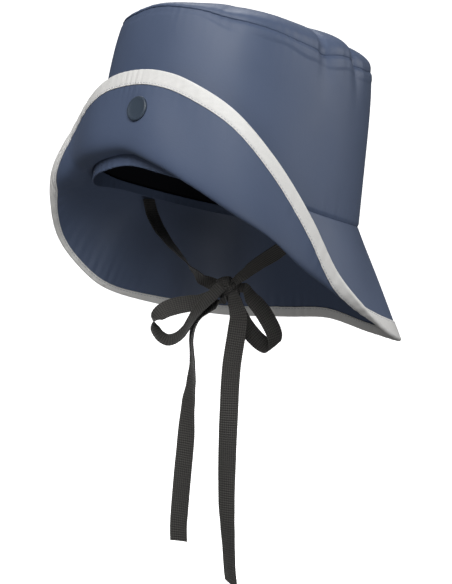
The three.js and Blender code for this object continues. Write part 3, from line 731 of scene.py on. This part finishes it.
def makeRibbon(name, route, endSlant):
    route = np.array(route, float)
    places = fromBow(route[:, :3]) + ribbonSize["knotPlace"]
    ways = fromBow(route[:, 3:6])
    for index in range(1, len(ways)):       # a ribbon has no right side, so its width never turns right over
        if ways[index].dot(ways[index - 1]) < 0:
            ways[index] = -ways[index]
    line, carried = smoothLine(places, np.concatenate([ways, route[:, 6:]], 1))
    length = np.concatenate([[0], np.cumsum(np.linalg.norm(np.diff(line, axis=0), axis=1))])
    perRib = ribbonSize["perRib"]
    count = int(round(length[-1] / ribbonSize["ribPitch"])) * perRib
    at = np.linspace(0, length[-1], count + 1)
    path = np.stack([np.interp(at, length, line[:, k]) for k in range(3)], -1)
    carry = np.stack([np.interp(at, length, carried[:, k]) for k in range(4)], -1)
    tangent = np.gradient(path, axis=0)
    tangent /= np.linalg.norm(tangent, axis=1, keepdims=True)
    way = carry[:, :3] - tangent * (carry[:, :3] * tangent).sum(1, keepdims=True)
    way /= np.linalg.norm(way, axis=1, keepdims=True)
    face = np.cross(tangent, way)
    phase = 2 * math.pi * np.arange(count + 1) / perRib
    rib = ribbonSize["ribHeight"] * np.cos(phase)
    half = ribbonSize["width"] * carry[:, 3] / 2 + ribbonSize["edgeWave"] * np.cos(phase)
    low, high, brink = ribbonSize["selvageFrom"], ribbonSize["selvageTo"], ribbonSize["edgeFrom"]
    spots = np.array([-1, -brink, -high, -low, -0.5, 0, 0.5, low, high, brink, 1])
    edge = np.clip((abs(spots) - low) / (high - low), 0, 1)
    ribShare = 1 - 0.7 * edge      # the ribs fade over the selvage
    roundOff = 1 - np.clip((abs(spots) - brink) / (1 - brink), 0, 1)
    skin = ribbonSize["thick"] / 2 + ribbonSize["selvage"] * edge * roundOff
    bow = ribbonSize["cup"] * ribbonSize["width"] * (1 - spots**2)
    slantPart = np.clip(1 - (length[-1] - at) / ribbonSize["slantReach"], 0, 1)
    shift = slantPart[:, None] * spots[None] * endSlant
    middle = (path[:, None] + way[:, None] * (half[:, None] * spots)[..., None]
              + face[:, None] * bow[None, :, None] + tangent[:, None] * shift[..., None])
    rise = skin[None] + rib[:, None] * ribShare[None] / 2
    upper = middle + face[:, None] * rise[..., None]
    lower = middle - face[:, None] * rise[..., None]
    ring = np.concatenate([upper, lower[:, ::-1]], 1)          # rows along the ribbon, round its section
    piece = gridObject(name, ring.transpose(1, 0, 2), closeRows=True, closeColumns=False,
                       material=ribbonCloth)
    keep = np.linspace(0, count, ribbonSize["pathPoints"]).astype(int)
    return piece, [tuple(point * mm) for point in path[keep]], length[-1] * mm


rightRibbon, rightPath, rightLength = makeRibbon("ribbon_right", rightRoute, 0)
leftRibbon, leftPath, leftLength = makeRibbon("ribbon_left", leftRoute, 2.2)


knotWraps = {
    "bulk": 0.86,              # the hidden core, as a share of the knot's half sizes
    "bandWidth": 8.5,
    "bandThick": 0.7,
    "reach": 7,
    "stacks": 24,
    "slices": 36,
    "poleGap": 0.06,
    "steps": 180,
    "acrossSteps": 9,
    "ribs": 34,                # round each band
    "ribRise": 0.1,
}


def makeKnot():
    # A soft core with bands of ribbon wrapped round it, all one piece
    half = ribbonSize["knotHalf"]
    parts = []
    polar = np.linspace(knotWraps["poleGap"], math.pi - knotWraps["poleGap"], knotWraps["stacks"])
    around = np.linspace(0, 2 * math.pi, knotWraps["slices"], endpoint=False)
    core = np.stack([np.outer(np.sin(polar), np.cos(around)), np.outer(np.sin(polar), np.sin(around)),
                     np.outer(np.cos(polar), np.ones(len(around)))], -1) * half * knotWraps["bulk"]
    parts.append(("core", core, None))
    # Each band circles the core: axis it turns about, offset along that axis, width share and swell
    bands = [((0.75, 0.35, 0.2), 0.5, 1, 1.03), ((-0.25, 0.95, 0.2), -0.2, 0.8, 0.95),
             ((0.9, -0.3, 0.1), -3.2, 0.7, 1.0)]
    for axis, offset, widthShare, swell in bands:
        axis = np.array(axis, float)
        axis /= np.linalg.norm(axis)
        one = np.cross(axis, [0, 0, 1.0])
        one /= np.linalg.norm(one)
        two = np.cross(axis, one)
        angles = np.linspace(0, 2 * math.pi, knotWraps["steps"], endpoint=False)
        spots = np.linspace(-1, 1, knotWraps["acrossSteps"])
        ring = []
        for sideSign in (1, -1):
            for spot in (spots if sideSign == 1 else spots[::-1]):
                along = offset + spot * knotWraps["bandWidth"] * widthShare / 2
                way = (one[None] * np.cos(angles)[:, None] + two[None] * np.sin(angles)[:, None])
                reach = way * knotWraps["reach"] + axis[None] * along
                scale = 1 / np.linalg.norm(reach / (half * swell), axis=1, keepdims=True)
                shell = reach * scale
                rib = knotWraps["ribRise"] * np.cos(angles * knotWraps["ribs"])[:, None]
                normal = shell / half / half
                normal /= np.linalg.norm(normal, axis=1, keepdims=True)
                ring.append(shell + normal * (sideSign * knotWraps["bandThick"] / 2 + rib * (sideSign > 0)))
        parts.append(("band", np.array(ring), True))
    pieces = []
    for index, (kind, points, closed) in enumerate(parts):
        spun = fromBow(points) + ribbonSize["knotPlace"]
        if closed:
            pieces.append(gridObject("bow_knot_" + str(index), spun, closeRows=True, material=ribbonCloth))
        else:
            ends = [points[0].mean(0), points[-1].mean(0)]
            ends = [fromBow(end) + ribbonSize["knotPlace"] for end in ends]
            pieces.append(gridObject("bow_knot_" + str(index), spun, poles=ends, material=ribbonCloth))
    return joinPieces("knot_of_ribbon", pieces)


def joinPieces(name, pieces):
    # One mesh from several, with the first one's material
    gather = bmesh.new()
    for piece in pieces:
        gather.from_mesh(piece.data)
    mesh = bpy.data.meshes.new(name)
    gather.to_mesh(mesh)
    gather.free()
    mesh.materials.append(pieces[0].data.materials[0])
    for piece in pieces:
        bpy.data.objects.remove(piece)
    whole = bpy.data.objects.new(name, mesh)
    bpy.context.collection.objects.link(whole)
    return whole


def faceOut(piece):
    # Faces point outwards on every closed part of the piece
    gather = bmesh.new()
    gather.from_mesh(piece.data)
    bmesh.ops.recalc_face_normals(gather, faces=gather.faces[:])
    gather.to_mesh(piece.data)
    gather.free()


knot = makeKnot()
for piece in (rightRibbon, leftRibbon, knot):
    faceOut(piece)
print("ribbons and knot made, lengths", round(rightLength, 3), round(leftLength, 3))


# Crown
crownDetail = {
    "levels": 40,
    "rimFrom": 0.9,            # closer rows from here up to the top seam
    "rimLevels": 26,
    "footTo": 0.03,
    "footLevels": 5,
    "thick": 1.2,
    "allowanceSoft": 3.2,      # mm over which the seam allowance's edge fades out
    "allowanceWander": 0.3,
    "tuck": 0.9,               # how far the cloth dips into a seam
    "tuckWidth": 1.3,
    "footTuck": 0.8,           # share of the tuck at the brim's seam
    "pucker": 0.07,
    "puckerReach": 7,
    "sway": 0.35,
}
crownTopDetail = {
    "rows": 32,
    "middle": 0.02,            # where the first ring lies, as a share of the way out
    "rimFrom": 0.86,
    "rimRows": 30,
    "tuck": 0.5,
    "sway": 0.6,
    "creaseDepth": 0.9,        # share of the dent's depth
    "creaseWidth": 0.45,       # share of the dent's spread
    "creaseReach": 14,         # mm that a crease runs in from the seam
    "creaseStart": 3,
}
# The top seam: mm of seam allowance below it, how far that stands out, and the seam's share of the tuck
topSeamColumns = ["turn", "allowance", "standOut", "tuckShare"]
topSeam = np.array([
    [0, 5, -0.4, 0.3],
    [25, 3.2, -0.4, 0.2],
    [41, 7, -0.25, 0.3],
    [52, 6, 0.3, 1],
    [64, 5, 0.5, 1],
    [77, 7, 0.55, 0.9],
    [95, 7.5, 0.5, 0.8],
    [120, 6, 0.45, 0.8],
    [200, 5.5, 0.45, 1],
    [300, 5.5, 0.35, 0.8],
    [335, 5, -0.2, 0.4],
])
turns = np.arange(hat["stations"]) * 360 / hat["stations"]


def seamColumn(name):
    return np.interp(turns, topSeam[:, 0], topSeam[:, topSeamColumns.index(name)], period=360)


def step(value, at, width):
    part = np.clip((value - at) / width + 0.5, 0, 1)
    return part * part * (3 - 2 * part)


def makeCrownSide():
    detail = crownDetail
    height = np.unique(np.concatenate([np.linspace(0, detail["rimFrom"], detail["levels"]),
                                       np.linspace(detail["rimFrom"], 1, detail["rimLevels"]),
                                       np.linspace(0, detail["footTo"], detail["footLevels"])]))
    middle = sidePoint(turns[None], height[:, None])
    fromTop = (1 - height[:, None]) * hat["crownHeight"]
    fromFoot = height[:, None] * hat["crownHeight"]
    allowance = seamColumn("allowance") + detail["allowanceWander"] * ripple(turns, 4, 5, 23)
    ridge = seamColumn("standOut") * (1 - step(fromTop, allowance, detail["allowanceSoft"]))
    tuck = detail["tuck"] * (seamColumn("tuckShare") * np.exp(-(fromTop / detail["tuckWidth"])**2)
                             + detail["footTuck"] * np.exp(-(fromFoot / detail["tuckWidth"])**2))
    pucker = detail["pucker"] * (ripple(turns, 11, 40, 110) * np.exp(-fromTop / detail["puckerReach"])
                                 + ripple(turns, 12, 40, 100) * np.exp(-fromFoot / detail["puckerReach"]))
    sway = detail["sway"] * ripple(turns, 21, 3, 9) * np.sin(math.pi * height[:, None])
    normals = gridNormals(middle)
    middle = middle + normals * (ridge - tuck + pucker + sway)[..., None]
    rows = len(middle)
    return gridObject("crown_side_cloth", tilted(wallLoop(middle, detail["thick"])), closeRows=True,
                      material=cloth, backing=knit, backRows=(rows + 2, 2 * rows + 4))


def makeCrownTop():
    detail = crownTopDetail
    reach = np.unique(np.concatenate([np.linspace(detail["middle"], detail["rimFrom"], detail["rows"]),
                                      np.linspace(detail["rimFrom"], 1, detail["rimRows"])]))
    middle = topPoint(turns[None], reach[:, None])
    fromSeam = (1 - reach[:, None]) * (hat["topLength"] + hat["topWidth"]) / 4
    tuck = (crownDetail["tuck"] * detail["tuck"] * seamColumn("tuckShare")
            * np.exp(-(fromSeam / crownDetail["tuckWidth"])**2))
    pucker = (crownDetail["pucker"] * ripple(turns, 11, 40, 110)
              * np.exp(-fromSeam / crownDetail["puckerReach"]))
    sway = detail["sway"] * ripple(turns, 31, 2, 6) * np.sin(math.pi * reach[:, None]) * reach[:, None]**2
    fade = np.exp(-fromSeam / detail["creaseReach"]) * (1 - np.exp(-(fromSeam / detail["creaseStart"])**2))
    crease = fade * sum(hat["topRise"] * depth * detail["creaseDepth"]
                        * np.exp(-(apart(turns, place) / (spread * detail["creaseWidth"]))**2)
                        for place, spread, depth in dents)
    normals = -gridNormals(middle)
    normals = np.where(normals[..., 2:] < 0, -normals, normals)
    middle = middle + normals * (pucker + sway - tuck - crease)[..., None]
    middle = middle[::-1]
    normals = gridNormals(middle)
    thick = crownDetail["thick"]
    outer = middle + normals * thick / 2
    inner = middle - normals * thick / 2
    way = middle[0] - middle[1]
    way /= np.linalg.norm(way, axis=-1, keepdims=True)
    angles = np.linspace(0, math.pi, 6)[1:-1]
    rim = [middle[0] + normals[0] * -math.cos(angle) * thick / 2 + way * math.sin(angle) * thick / 2
           for angle in angles]
    skins = tilted(np.concatenate([inner[::-1], np.array(rim), outer]))
    poles = [skins[0].mean(0), skins[-1].mean(0)]
    return gridObject("crown_top_cloth", skins, poles=poles, material=cloth, backing=knit,
                      backRows=(0, len(inner)))


crownSide = makeCrownSide()
crownTop = makeCrownTop()
print("crown made")


# Brim, its binding and the inside band
bindingSize = {
    "tape": 18,                # mm, the whole width of the tape before it is folded over the edge
    "fineRows": 14,            # mm of closely spaced rows along the brim's edge
    "rows": 14,
    "thick": 0.5,
    "stitchIn": 1.1,           # mm from the tape's inner edge
    "clear": 0.08,             # mm between the tape and the brim
    "stitchSink": 0.2,         # the groove that the stitches pull into the tape
    "stitchGroove": 0.5,       # and its half width
    "stitchPitch": 2.4,
    "stitchLength": 1.7,
    "threadThick": 0.38,
    "threadSunk": 0.12,
    "foldRise": 0.14,
    "foldSlant": 0.9,          # degrees round the hat for each mm across the tape
    "foldTurn": 300,           # where the folds are deepest
    "foldSpread": 40,
    "foldElsewhere": 0.12,
    "wrinkle": 0.02,
}
brimDetail = {
    "rows": 46,
    "fineStep": 0.7,
    "thick": 1.2,
    "pucker": 0.07,
    "puckerReach": 6,
    "sway": 0.4,
    "swaySlant": 14,           # degrees that the slow waves turn from the seam to the edge
}
# Tape on the underside, in millimetres by turn: it is folded unevenly where the brim turns tightly
tapeUnder = [(0, 8.7), (60, 8.7), (85, 8.3), (100, 6), (112, 5), (130, 6.4), (215, 6.2), (240, 4.8),
             (262, 3.2), (285, 3), (300, 4.2), (318, 6), (335, 7.6), (350, 8.7)]


def underCover(turn):
    places, widths = zip(*tapeUnder)
    return np.interp(turn, places, widths, period=360)


def brimWaves(fromEdge, share):
    # Puckers along the binding and slow waves over the rest
    near = np.exp(-np.maximum(fromEdge - bindingSize["tape"] / 2, 0) / brimDetail["puckerReach"])
    pucker = brimDetail["pucker"] * ripple(turns, 41, 50, 120) * near
    slant = brimDetail["swaySlant"] * share
    sway = brimDetail["sway"] * ripple(turns + slant, 42, 4, 13) * np.sin(math.pi * share)
    return pucker + sway


def brimSurface():
    shares = np.linspace(-1, 0, brimDetail["rows"])[:-1]
    tail = np.arange(bindingSize["fineRows"], -0.01, -brimDetail["fineStep"])
    middle = brimMiddle(turns, np.concatenate([shares, tail]))
    length = np.linalg.norm(np.diff(middle, axis=0), axis=-1)
    fromEdge = np.concatenate([np.cumsum(length[::-1], axis=0)[::-1], np.zeros((1, len(turns)))])
    share = 1 - fromEdge / fromEdge[:1]
    normals = gridNormals(middle)
    return middle + normals * brimWaves(fromEdge, share)[..., None]


brimRowsFine = brimSurface()
brimNormals = gridNormals(brimRowsFine)


def brimAt(fromEdge):
    # Points and normals of the finished brim at distances from its edge, one for each station
    count = len(brimRowsFine)
    place = count - 1 - fromEdge / brimDetail["fineStep"]
    low = np.clip(np.floor(place).astype(int), 0, count - 2)
    part = (place - low)[..., None]
    spots = np.arange(len(turns))
    points = brimRowsFine[low, spots] * (1 - part) + brimRowsFine[low + 1, spots] * part
    normals = brimNormals[low, spots] * (1 - part) + brimNormals[low + 1, spots] * part
    return points, normals / np.linalg.norm(normals, axis=-1, keepdims=True)


def makeBrim():
    return gridObject("brim_cloth", tilted(wallLoop(brimRowsFine, brimDetail["thick"], brimNormals)),
                      closeRows=True, material=cloth)


def makeBinding():
    # The tape's upper and under faces, a rounded fold over the edge, and the same again inside
    share = np.linspace(1, 0, bindingSize["rows"])[:, None]
    under = underCover(turns)
    covers = {1: share * under, -1: share * (bindingSize["tape"] - under)}     # 1 is the brim's underside
    edge, edgeNormal = brimRowsFine[-1], brimNormals[-1]
    way = brimRowsFine[-1] - brimRowsFine[-2]
    way /= np.linalg.norm(way, axis=-1, keepdims=True)
    clear = brimDetail["thick"] / 2 + bindingSize["clear"]
    thick = bindingSize["thick"]
    angles = np.linspace(0, math.pi, 9)[1:-1]

    def skin(side, offset, foldShare):
        covered = covers[side]
        points, normals = brimAt(covered)
        fromInner = covered[:1] - covered
        across = (fromInner - bindingSize["stitchIn"]) / bindingSize["stitchGroove"]
        groove = bindingSize["stitchSink"] * np.exp(-across**2)
        lift = offset + foldShare * (tapeFolds(covered, covered[:1]) - groove)
        return points + normals * side * lift[..., None]

    def bend(radius):
        return np.array([edge + edgeNormal * math.cos(angle) * radius + way * math.sin(angle) * radius
                         for angle in angles])

    loop = np.concatenate([skin(1, clear + thick, 1), bend(clear + thick), skin(-1, clear + thick, 1)[::-1],
                           skin(-1, clear, 0), bend(clear)[::-1], skin(1, clear, 0)[::-1]])
    return gridObject("binding_tape", tilted(loop), closeRows=True, material=tape)


def tapeFolds(covered, width):
    # Slanting folds where the tape goes round the tight left side, fainter elsewhere
    slant = turns[None] + bindingSize["foldSlant"] * covered
    near = np.exp(-(apart(turns, bindingSize["foldTurn"]) / bindingSize["foldSpread"])**2)
    tight = bindingSize["foldElsewhere"] + (1 - bindingSize["foldElsewhere"]) * near
    fade = np.sin(math.pi * np.clip(covered / width, 0.02, 0.98))
    folds = bindingSize["foldRise"] * ripple(slant, 51, 60, 130) * tight
    return (folds + bindingSize["wrinkle"] * ripple(turns, 52, 150, 290)) * fade


band = {
    "thick": 1.0,
    "rows": 24,
    "above": 3,
    "belowFront": 8,
    "belowBack": 2,
    "frontFrom": 0.25,         # where the deep front part starts and ends, as cosines of the turn
    "frontTo": 0.75,
    "clear": 0.6,              # mm inside the crown's wall
    "wave": 0.25,
    "waveReach": 6,
}


def makeInnerBand():
    # A folded strip of the same cloth inside the opening
    share = np.linspace(0, 1, band["rows"])[:, None]
    facing = np.cos(turns * radian) - band["frontFrom"]
    ahead = np.clip(facing / (band["frontTo"] - band["frontFrom"]), 0, 1)
    below = band["belowBack"] + (band["belowFront"] - band["belowBack"]) * ahead**2 * (3 - 2 * ahead)
    levels = share * (below + band["above"]) - below
    inset = hat["clothThick"] / 2 + hat["gap"] + band["clear"]
    middle = sidePoint(turns[None], np.maximum(levels, 0) / hat["crownHeight"])
    middle[..., :2] -= outward(turns)[None] * inset
    middle[..., 2] += np.minimum(levels, 0)
    normals = gridNormals(middle)
    wave = band["wave"] * ripple(turns, 61, 20, 60) * np.exp(-(levels + below) / band["waveReach"])
    middle = middle - normals * np.abs(wave)[..., None]
    return gridObject("inner_band_cloth", tilted(wallLoop(middle, band["thick"])), closeRows=True,
                      material=cloth)


snap = {
    "turn": 7,
    "share": 0.8,              # of the way from the seam to the edge
    "width": 15.5,
    "rise": 1.6,
    "slices": 96,
    "turnStep": 2,             # how far to each side the brim's lie is read
    "shareStep": 0.02,
}


def snapFrame():
    # Middle of the snap on the brim, its up direction and the way it faces
    turn = snap["turn"] + np.array([-snap["turnStep"], 0, snap["turnStep"]])
    guides = brimGuides(turn)

    def spot(share):
        curve = brimCurve(guides, share)
        return np.concatenate([seamOval(turn) + outward(turn) * curve[:, :1], curve[:, 1:]], -1)

    place = spot(snap["share"])
    up = spot(snap["share"] + snap["shareStep"])[1] - spot(snap["share"] - snap["shareStep"])[1]
    aside = place[2] - place[0]
    up /= np.linalg.norm(up)
    aside /= np.linalg.norm(aside)
    out = np.cross(aside, up)
    return place[1], out / np.linalg.norm(out), up


def makeSnapCap():
    # Turned profile: flat slightly dished face, raised rounded rim, back seated on the cloth
    place, out, up = snapFrame()
    half = snap["width"] / 2
    profile = [(0.001, 0), (0.96, 0), (0.99, 0.12), (1, 0.35), (0.99, 0.62), (0.95, 0.86), (0.9, 0.97),
               (0.86, 1), (0.8, 0.98), (0.74, 0.9), (0.66, 0.84), (0.4, 0.78), (0.001, 0.76)]
    angles = np.linspace(0, 2 * math.pi, snap["slices"], endpoint=False)
    aside = np.cross(up, out)
    base = place + out * (hat["clothThick"] / 2 + hat["gap"])
    rows = []
    for radius, level in profile:
        way = aside[None] * np.cos(angles)[:, None] + up[None] * np.sin(angles)[:, None]
        rows.append(base + out * level * snap["rise"] + way * radius * half)
    rows = tilted(np.array(rows))
    return gridObject("snap_cap_moulded", rows, poles=[rows[0].mean(0), rows[-1].mean(0)],
                      material=snapPlastic)


brim = makeBrim()
binding = makeBinding()
innerBand = makeInnerBand()
snapCap = makeSnapCap()
faceOut(snapCap)
print("brim, binding, band and snap made")


# Stitches: one small thread piece repeated along a line by Geometry Nodes
def stitchTree(threadMaterial):
    tree = bpy.data.node_groups.new("stitches along a seam", "GeometryNodeTree")
    tree.interface.new_socket("Geometry", in_out="INPUT", socket_type="NodeSocketGeometry")
    for label, value in (("Pitch", 0.0024), ("Stitch Length", 0.0017), ("Thread Thickness", 0.0004)):
        socket = tree.interface.new_socket(label, in_out="INPUT", socket_type="NodeSocketFloat")
        socket.default_value = value
    tree.interface.new_socket("Geometry", in_out="OUTPUT", socket_type="NodeSocketGeometry")
    source = addNode(tree, "NodeGroupInput")
    points = addNode(tree, "GeometryNodeCurveToPoints", {"mode": "LENGTH"},
                     {"Curve": source.outputs["Geometry"], "Length": source.outputs["Pitch"]})
    ball = addNode(tree, "GeometryNodeMeshUVSphere", {"Segments": 8, "Rings": 6, "Radius": 0.5})
    size = addNode(tree, "ShaderNodeCombineXYZ", {}, {"X": source.outputs["Thread Thickness"],
                                                      "Y": source.outputs["Thread Thickness"],
                                                      "Z": source.outputs["Stitch Length"]})
    placed = addNode(tree, "GeometryNodeInstanceOnPoints", {},
                     {"Points": points.outputs["Points"], "Instance": ball.outputs["Mesh"],
                      "Rotation": points.outputs["Rotation"], "Scale": size.outputs["Vector"]})
    real = addNode(tree, "GeometryNodeRealizeInstances", {}, {"Geometry": placed.outputs["Instances"]})
    smooth = addNode(tree, "GeometryNodeSetShadeSmooth", {}, {"Geometry": real.outputs["Geometry"]})
    dressed = addNode(tree, "GeometryNodeSetMaterial", {"Material": threadMaterial},
                      {"Geometry": smooth.outputs["Geometry"]})
    sink = addNode(tree, "NodeGroupOutput")
    tree.links.new(dressed.outputs["Geometry"], sink.inputs["Geometry"])
    return tree


def makeStitches(name, lines, threadMaterial, pitch, length, thick):
    curve = bpy.data.curves.new(name, "CURVE")
    curve.dimensions = "3D"
    for line in lines:
        spline = curve.splines.new("POLY")
        spline.points.add(len(line) - 1)
        spline.points.foreach_set("co", np.concatenate([line * mm, np.ones((len(line), 1))], 1).ravel())
        spline.use_cyclic_u = True
    holder = bpy.data.objects.new(name + "_line", curve)
    bpy.context.collection.objects.link(holder)
    modifier = holder.modifiers.new("stitches", "NODES")
    tree = stitchTree(threadMaterial)
    modifier.node_group = tree
    wanted = {"Pitch": pitch * mm, "Stitch Length": length * mm, "Thread Thickness": thick * mm}
    for item in tree.interface.items_tree:
        if item.item_type == "SOCKET" and item.in_out == "INPUT" and item.name in wanted:
            modifier[item.identifier] = wanted[item.name]
    bpy.context.view_layer.update()
    evaluated = holder.evaluated_get(bpy.context.evaluated_depsgraph_get())
    mesh = bpy.data.meshes.new_from_object(evaluated)
    mesh.name = name
    bpy.data.objects.remove(holder)
    if not mesh.materials:
        mesh.materials.append(threadMaterial)
    piece = bpy.data.objects.new(name, mesh)
    bpy.context.collection.objects.link(piece)
    return piece


def bindingStitches():
    # On both faces of the tape, close to its inner edge, half sunk
    lift = brimDetail["thick"] / 2 + bindingSize["clear"] + bindingSize["thick"] - bindingSize["threadSunk"]
    under = underCover(turns)
    lines = []
    for side, cover in ((1, under), (-1, bindingSize["tape"] - under)):
        points, normals = brimAt(cover - bindingSize["stitchIn"])
        lines.append(tilted(points + normals * side * lift))
    return makeStitches("binding_stitches", lines, paleThread, bindingSize["stitchPitch"],
                        bindingSize["stitchLength"], bindingSize["threadThick"])


stitches = bindingStitches()
print("stitches made")


# What each piece stands for
bodyName = list(frame["bodies"])[0]
stands = [
    (crownSide, "crown_side", "coated_cloth"),
    (crownTop, "crown_top", "coated_cloth"),
    (brim, "brim", "coated_cloth"),
    (binding, "brim_binding", "binding_tape"),
    (innerBand, "inner_band", "coated_cloth"),
    (snapCap, "snap_cap", "snap_plastic"),
    (knot, "bow_knot", "ribbon"),
]
for piece, node, slot in stands:
    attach(piece, bodyName)
    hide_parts(node)
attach(stitches, bodyName)
for piece, nodes in ((rightRibbon, ("tie_right", "bow_loop_right", "tie_end_right")),
                     (leftRibbon, ("tie_left", "bow_loop_left", "tie_end_left"))):
    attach(piece, bodyName)
    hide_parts(*nodes)

socket = frame["nodes"]["snap_socket"]
for materialSlot in socket.material_slots:
    materialSlot.material = snapPlastic


# Floor, backdrop and lights
studio = {
    "floorLevel": -0.262,
    "floorColour": 0xFFFFFF,
    "floorGlow": 0.85,         # lifts the paper to a clean white
    "sweepNear": -2.2,         # metres from the hat along the view
    "sweepFlat": 1.2,
    "sweepBend": 0.9,
    "sweepTop": 3.5,
    "sweepHalfWidth": 3.5,
    "worldStrength": 0.09,
    "lightSize": (0.7, 0.7),
    "lightDistance": 1.5,
}
# Soft lamps: name, watts, degrees to the right of the camera and degrees above the horizon
lamps = [
    ("key", 13, 0, 38),
    ("side", 8, -45, 48),
    ("back", 9, 180, 60),
    ("right", 7, 90, 20),
    ("low", 4, 10, -30),
]


def makeStage():
    material, tree, output = newMaterial("white paper sweep")
    shader = addNode(tree, "ShaderNodeBsdfPrincipled",
                     {"Base Color": linear(studio["floorColour"]), "Roughness": 0.9,
                      "Emission Color": linear(studio["floorColour"]),
                      "Emission Strength": studio["floorGlow"]})
    tree.links.new(shader.outputs["BSDF"], output.inputs["Surface"])
    away = view["azimuth"] * radian
    back = np.array([-math.sin(away), math.cos(away)])
    side = np.array([back[1], -back[0]])
    flat, bend = studio["sweepFlat"], studio["sweepBend"]
    profile = [(studio["sweepNear"], 0)]
    for angle in np.linspace(0, math.pi / 2, 16):
        profile.append((flat + bend * math.sin(angle), bend - bend * math.cos(angle)))
    profile += [(flat + bend, studio["sweepTop"])]
    vertices, faces = [], []
    for reach, rise in profile:
        for across in (-studio["sweepHalfWidth"], studio["sweepHalfWidth"]):
            spot = back * reach + side * across
            vertices.append((spot[0], spot[1], studio["floorLevel"] + rise))
    for index in range(len(profile) - 1):
        faces.append((2 * index, 2 * index + 1, 2 * index + 3, 2 * index + 2))
    mesh = bpy.data.meshes.new("sweep")
    mesh.from_pydata(vertices, [], faces)
    mesh.shade_smooth()
    mesh.materials.append(material)
    sweep = bpy.data.objects.new("sweep", mesh)
    sweep.visible_diffuse = False      # the paper is seen, but its bounce is left to the low lamp
    sweep.visible_glossy = False
    sweep.visible_shadow = False       # the low lamp stands below the paper and shines through it
    bpy.context.collection.objects.link(sweep)


def addLight(name, size, power, place, target=(0, 0, 0)):
    data = bpy.data.lights.new(name, "AREA")
    data.shape = "RECTANGLE"
    data.size, data.size_y = size
    data.energy = power
    light = bpy.data.objects.new(name, data)
    light.location = place
    way = Vector(place) - Vector(target)
    light.rotation_euler = way.to_track_quat("Z", "Y").to_euler()
    bpy.context.collection.objects.link(light)


def makeLights():
    world = bpy.data.worlds.new("studio")
    world.use_nodes = True
    background = world.node_tree.nodes["Background"]
    background.inputs["Color"].default_value = (1, 1, 1, 1)
    background.inputs["Strength"].default_value = studio["worldStrength"]
    bpy.context.scene.world = world
    for name, power, aside, rise in lamps:
        around, up = (view["azimuth"] + aside) * radian, rise * radian
        way = Vector((math.cos(up) * math.sin(around), -math.cos(up) * math.cos(around), math.sin(up)))
        addLight(name, studio["lightSize"], power, Vector(view["target"]) + way * studio["lightDistance"])
    bpy.context.scene.view_settings.view_transform = "Standard"


makeStage()
makeLights()
print("stage and lights ready")
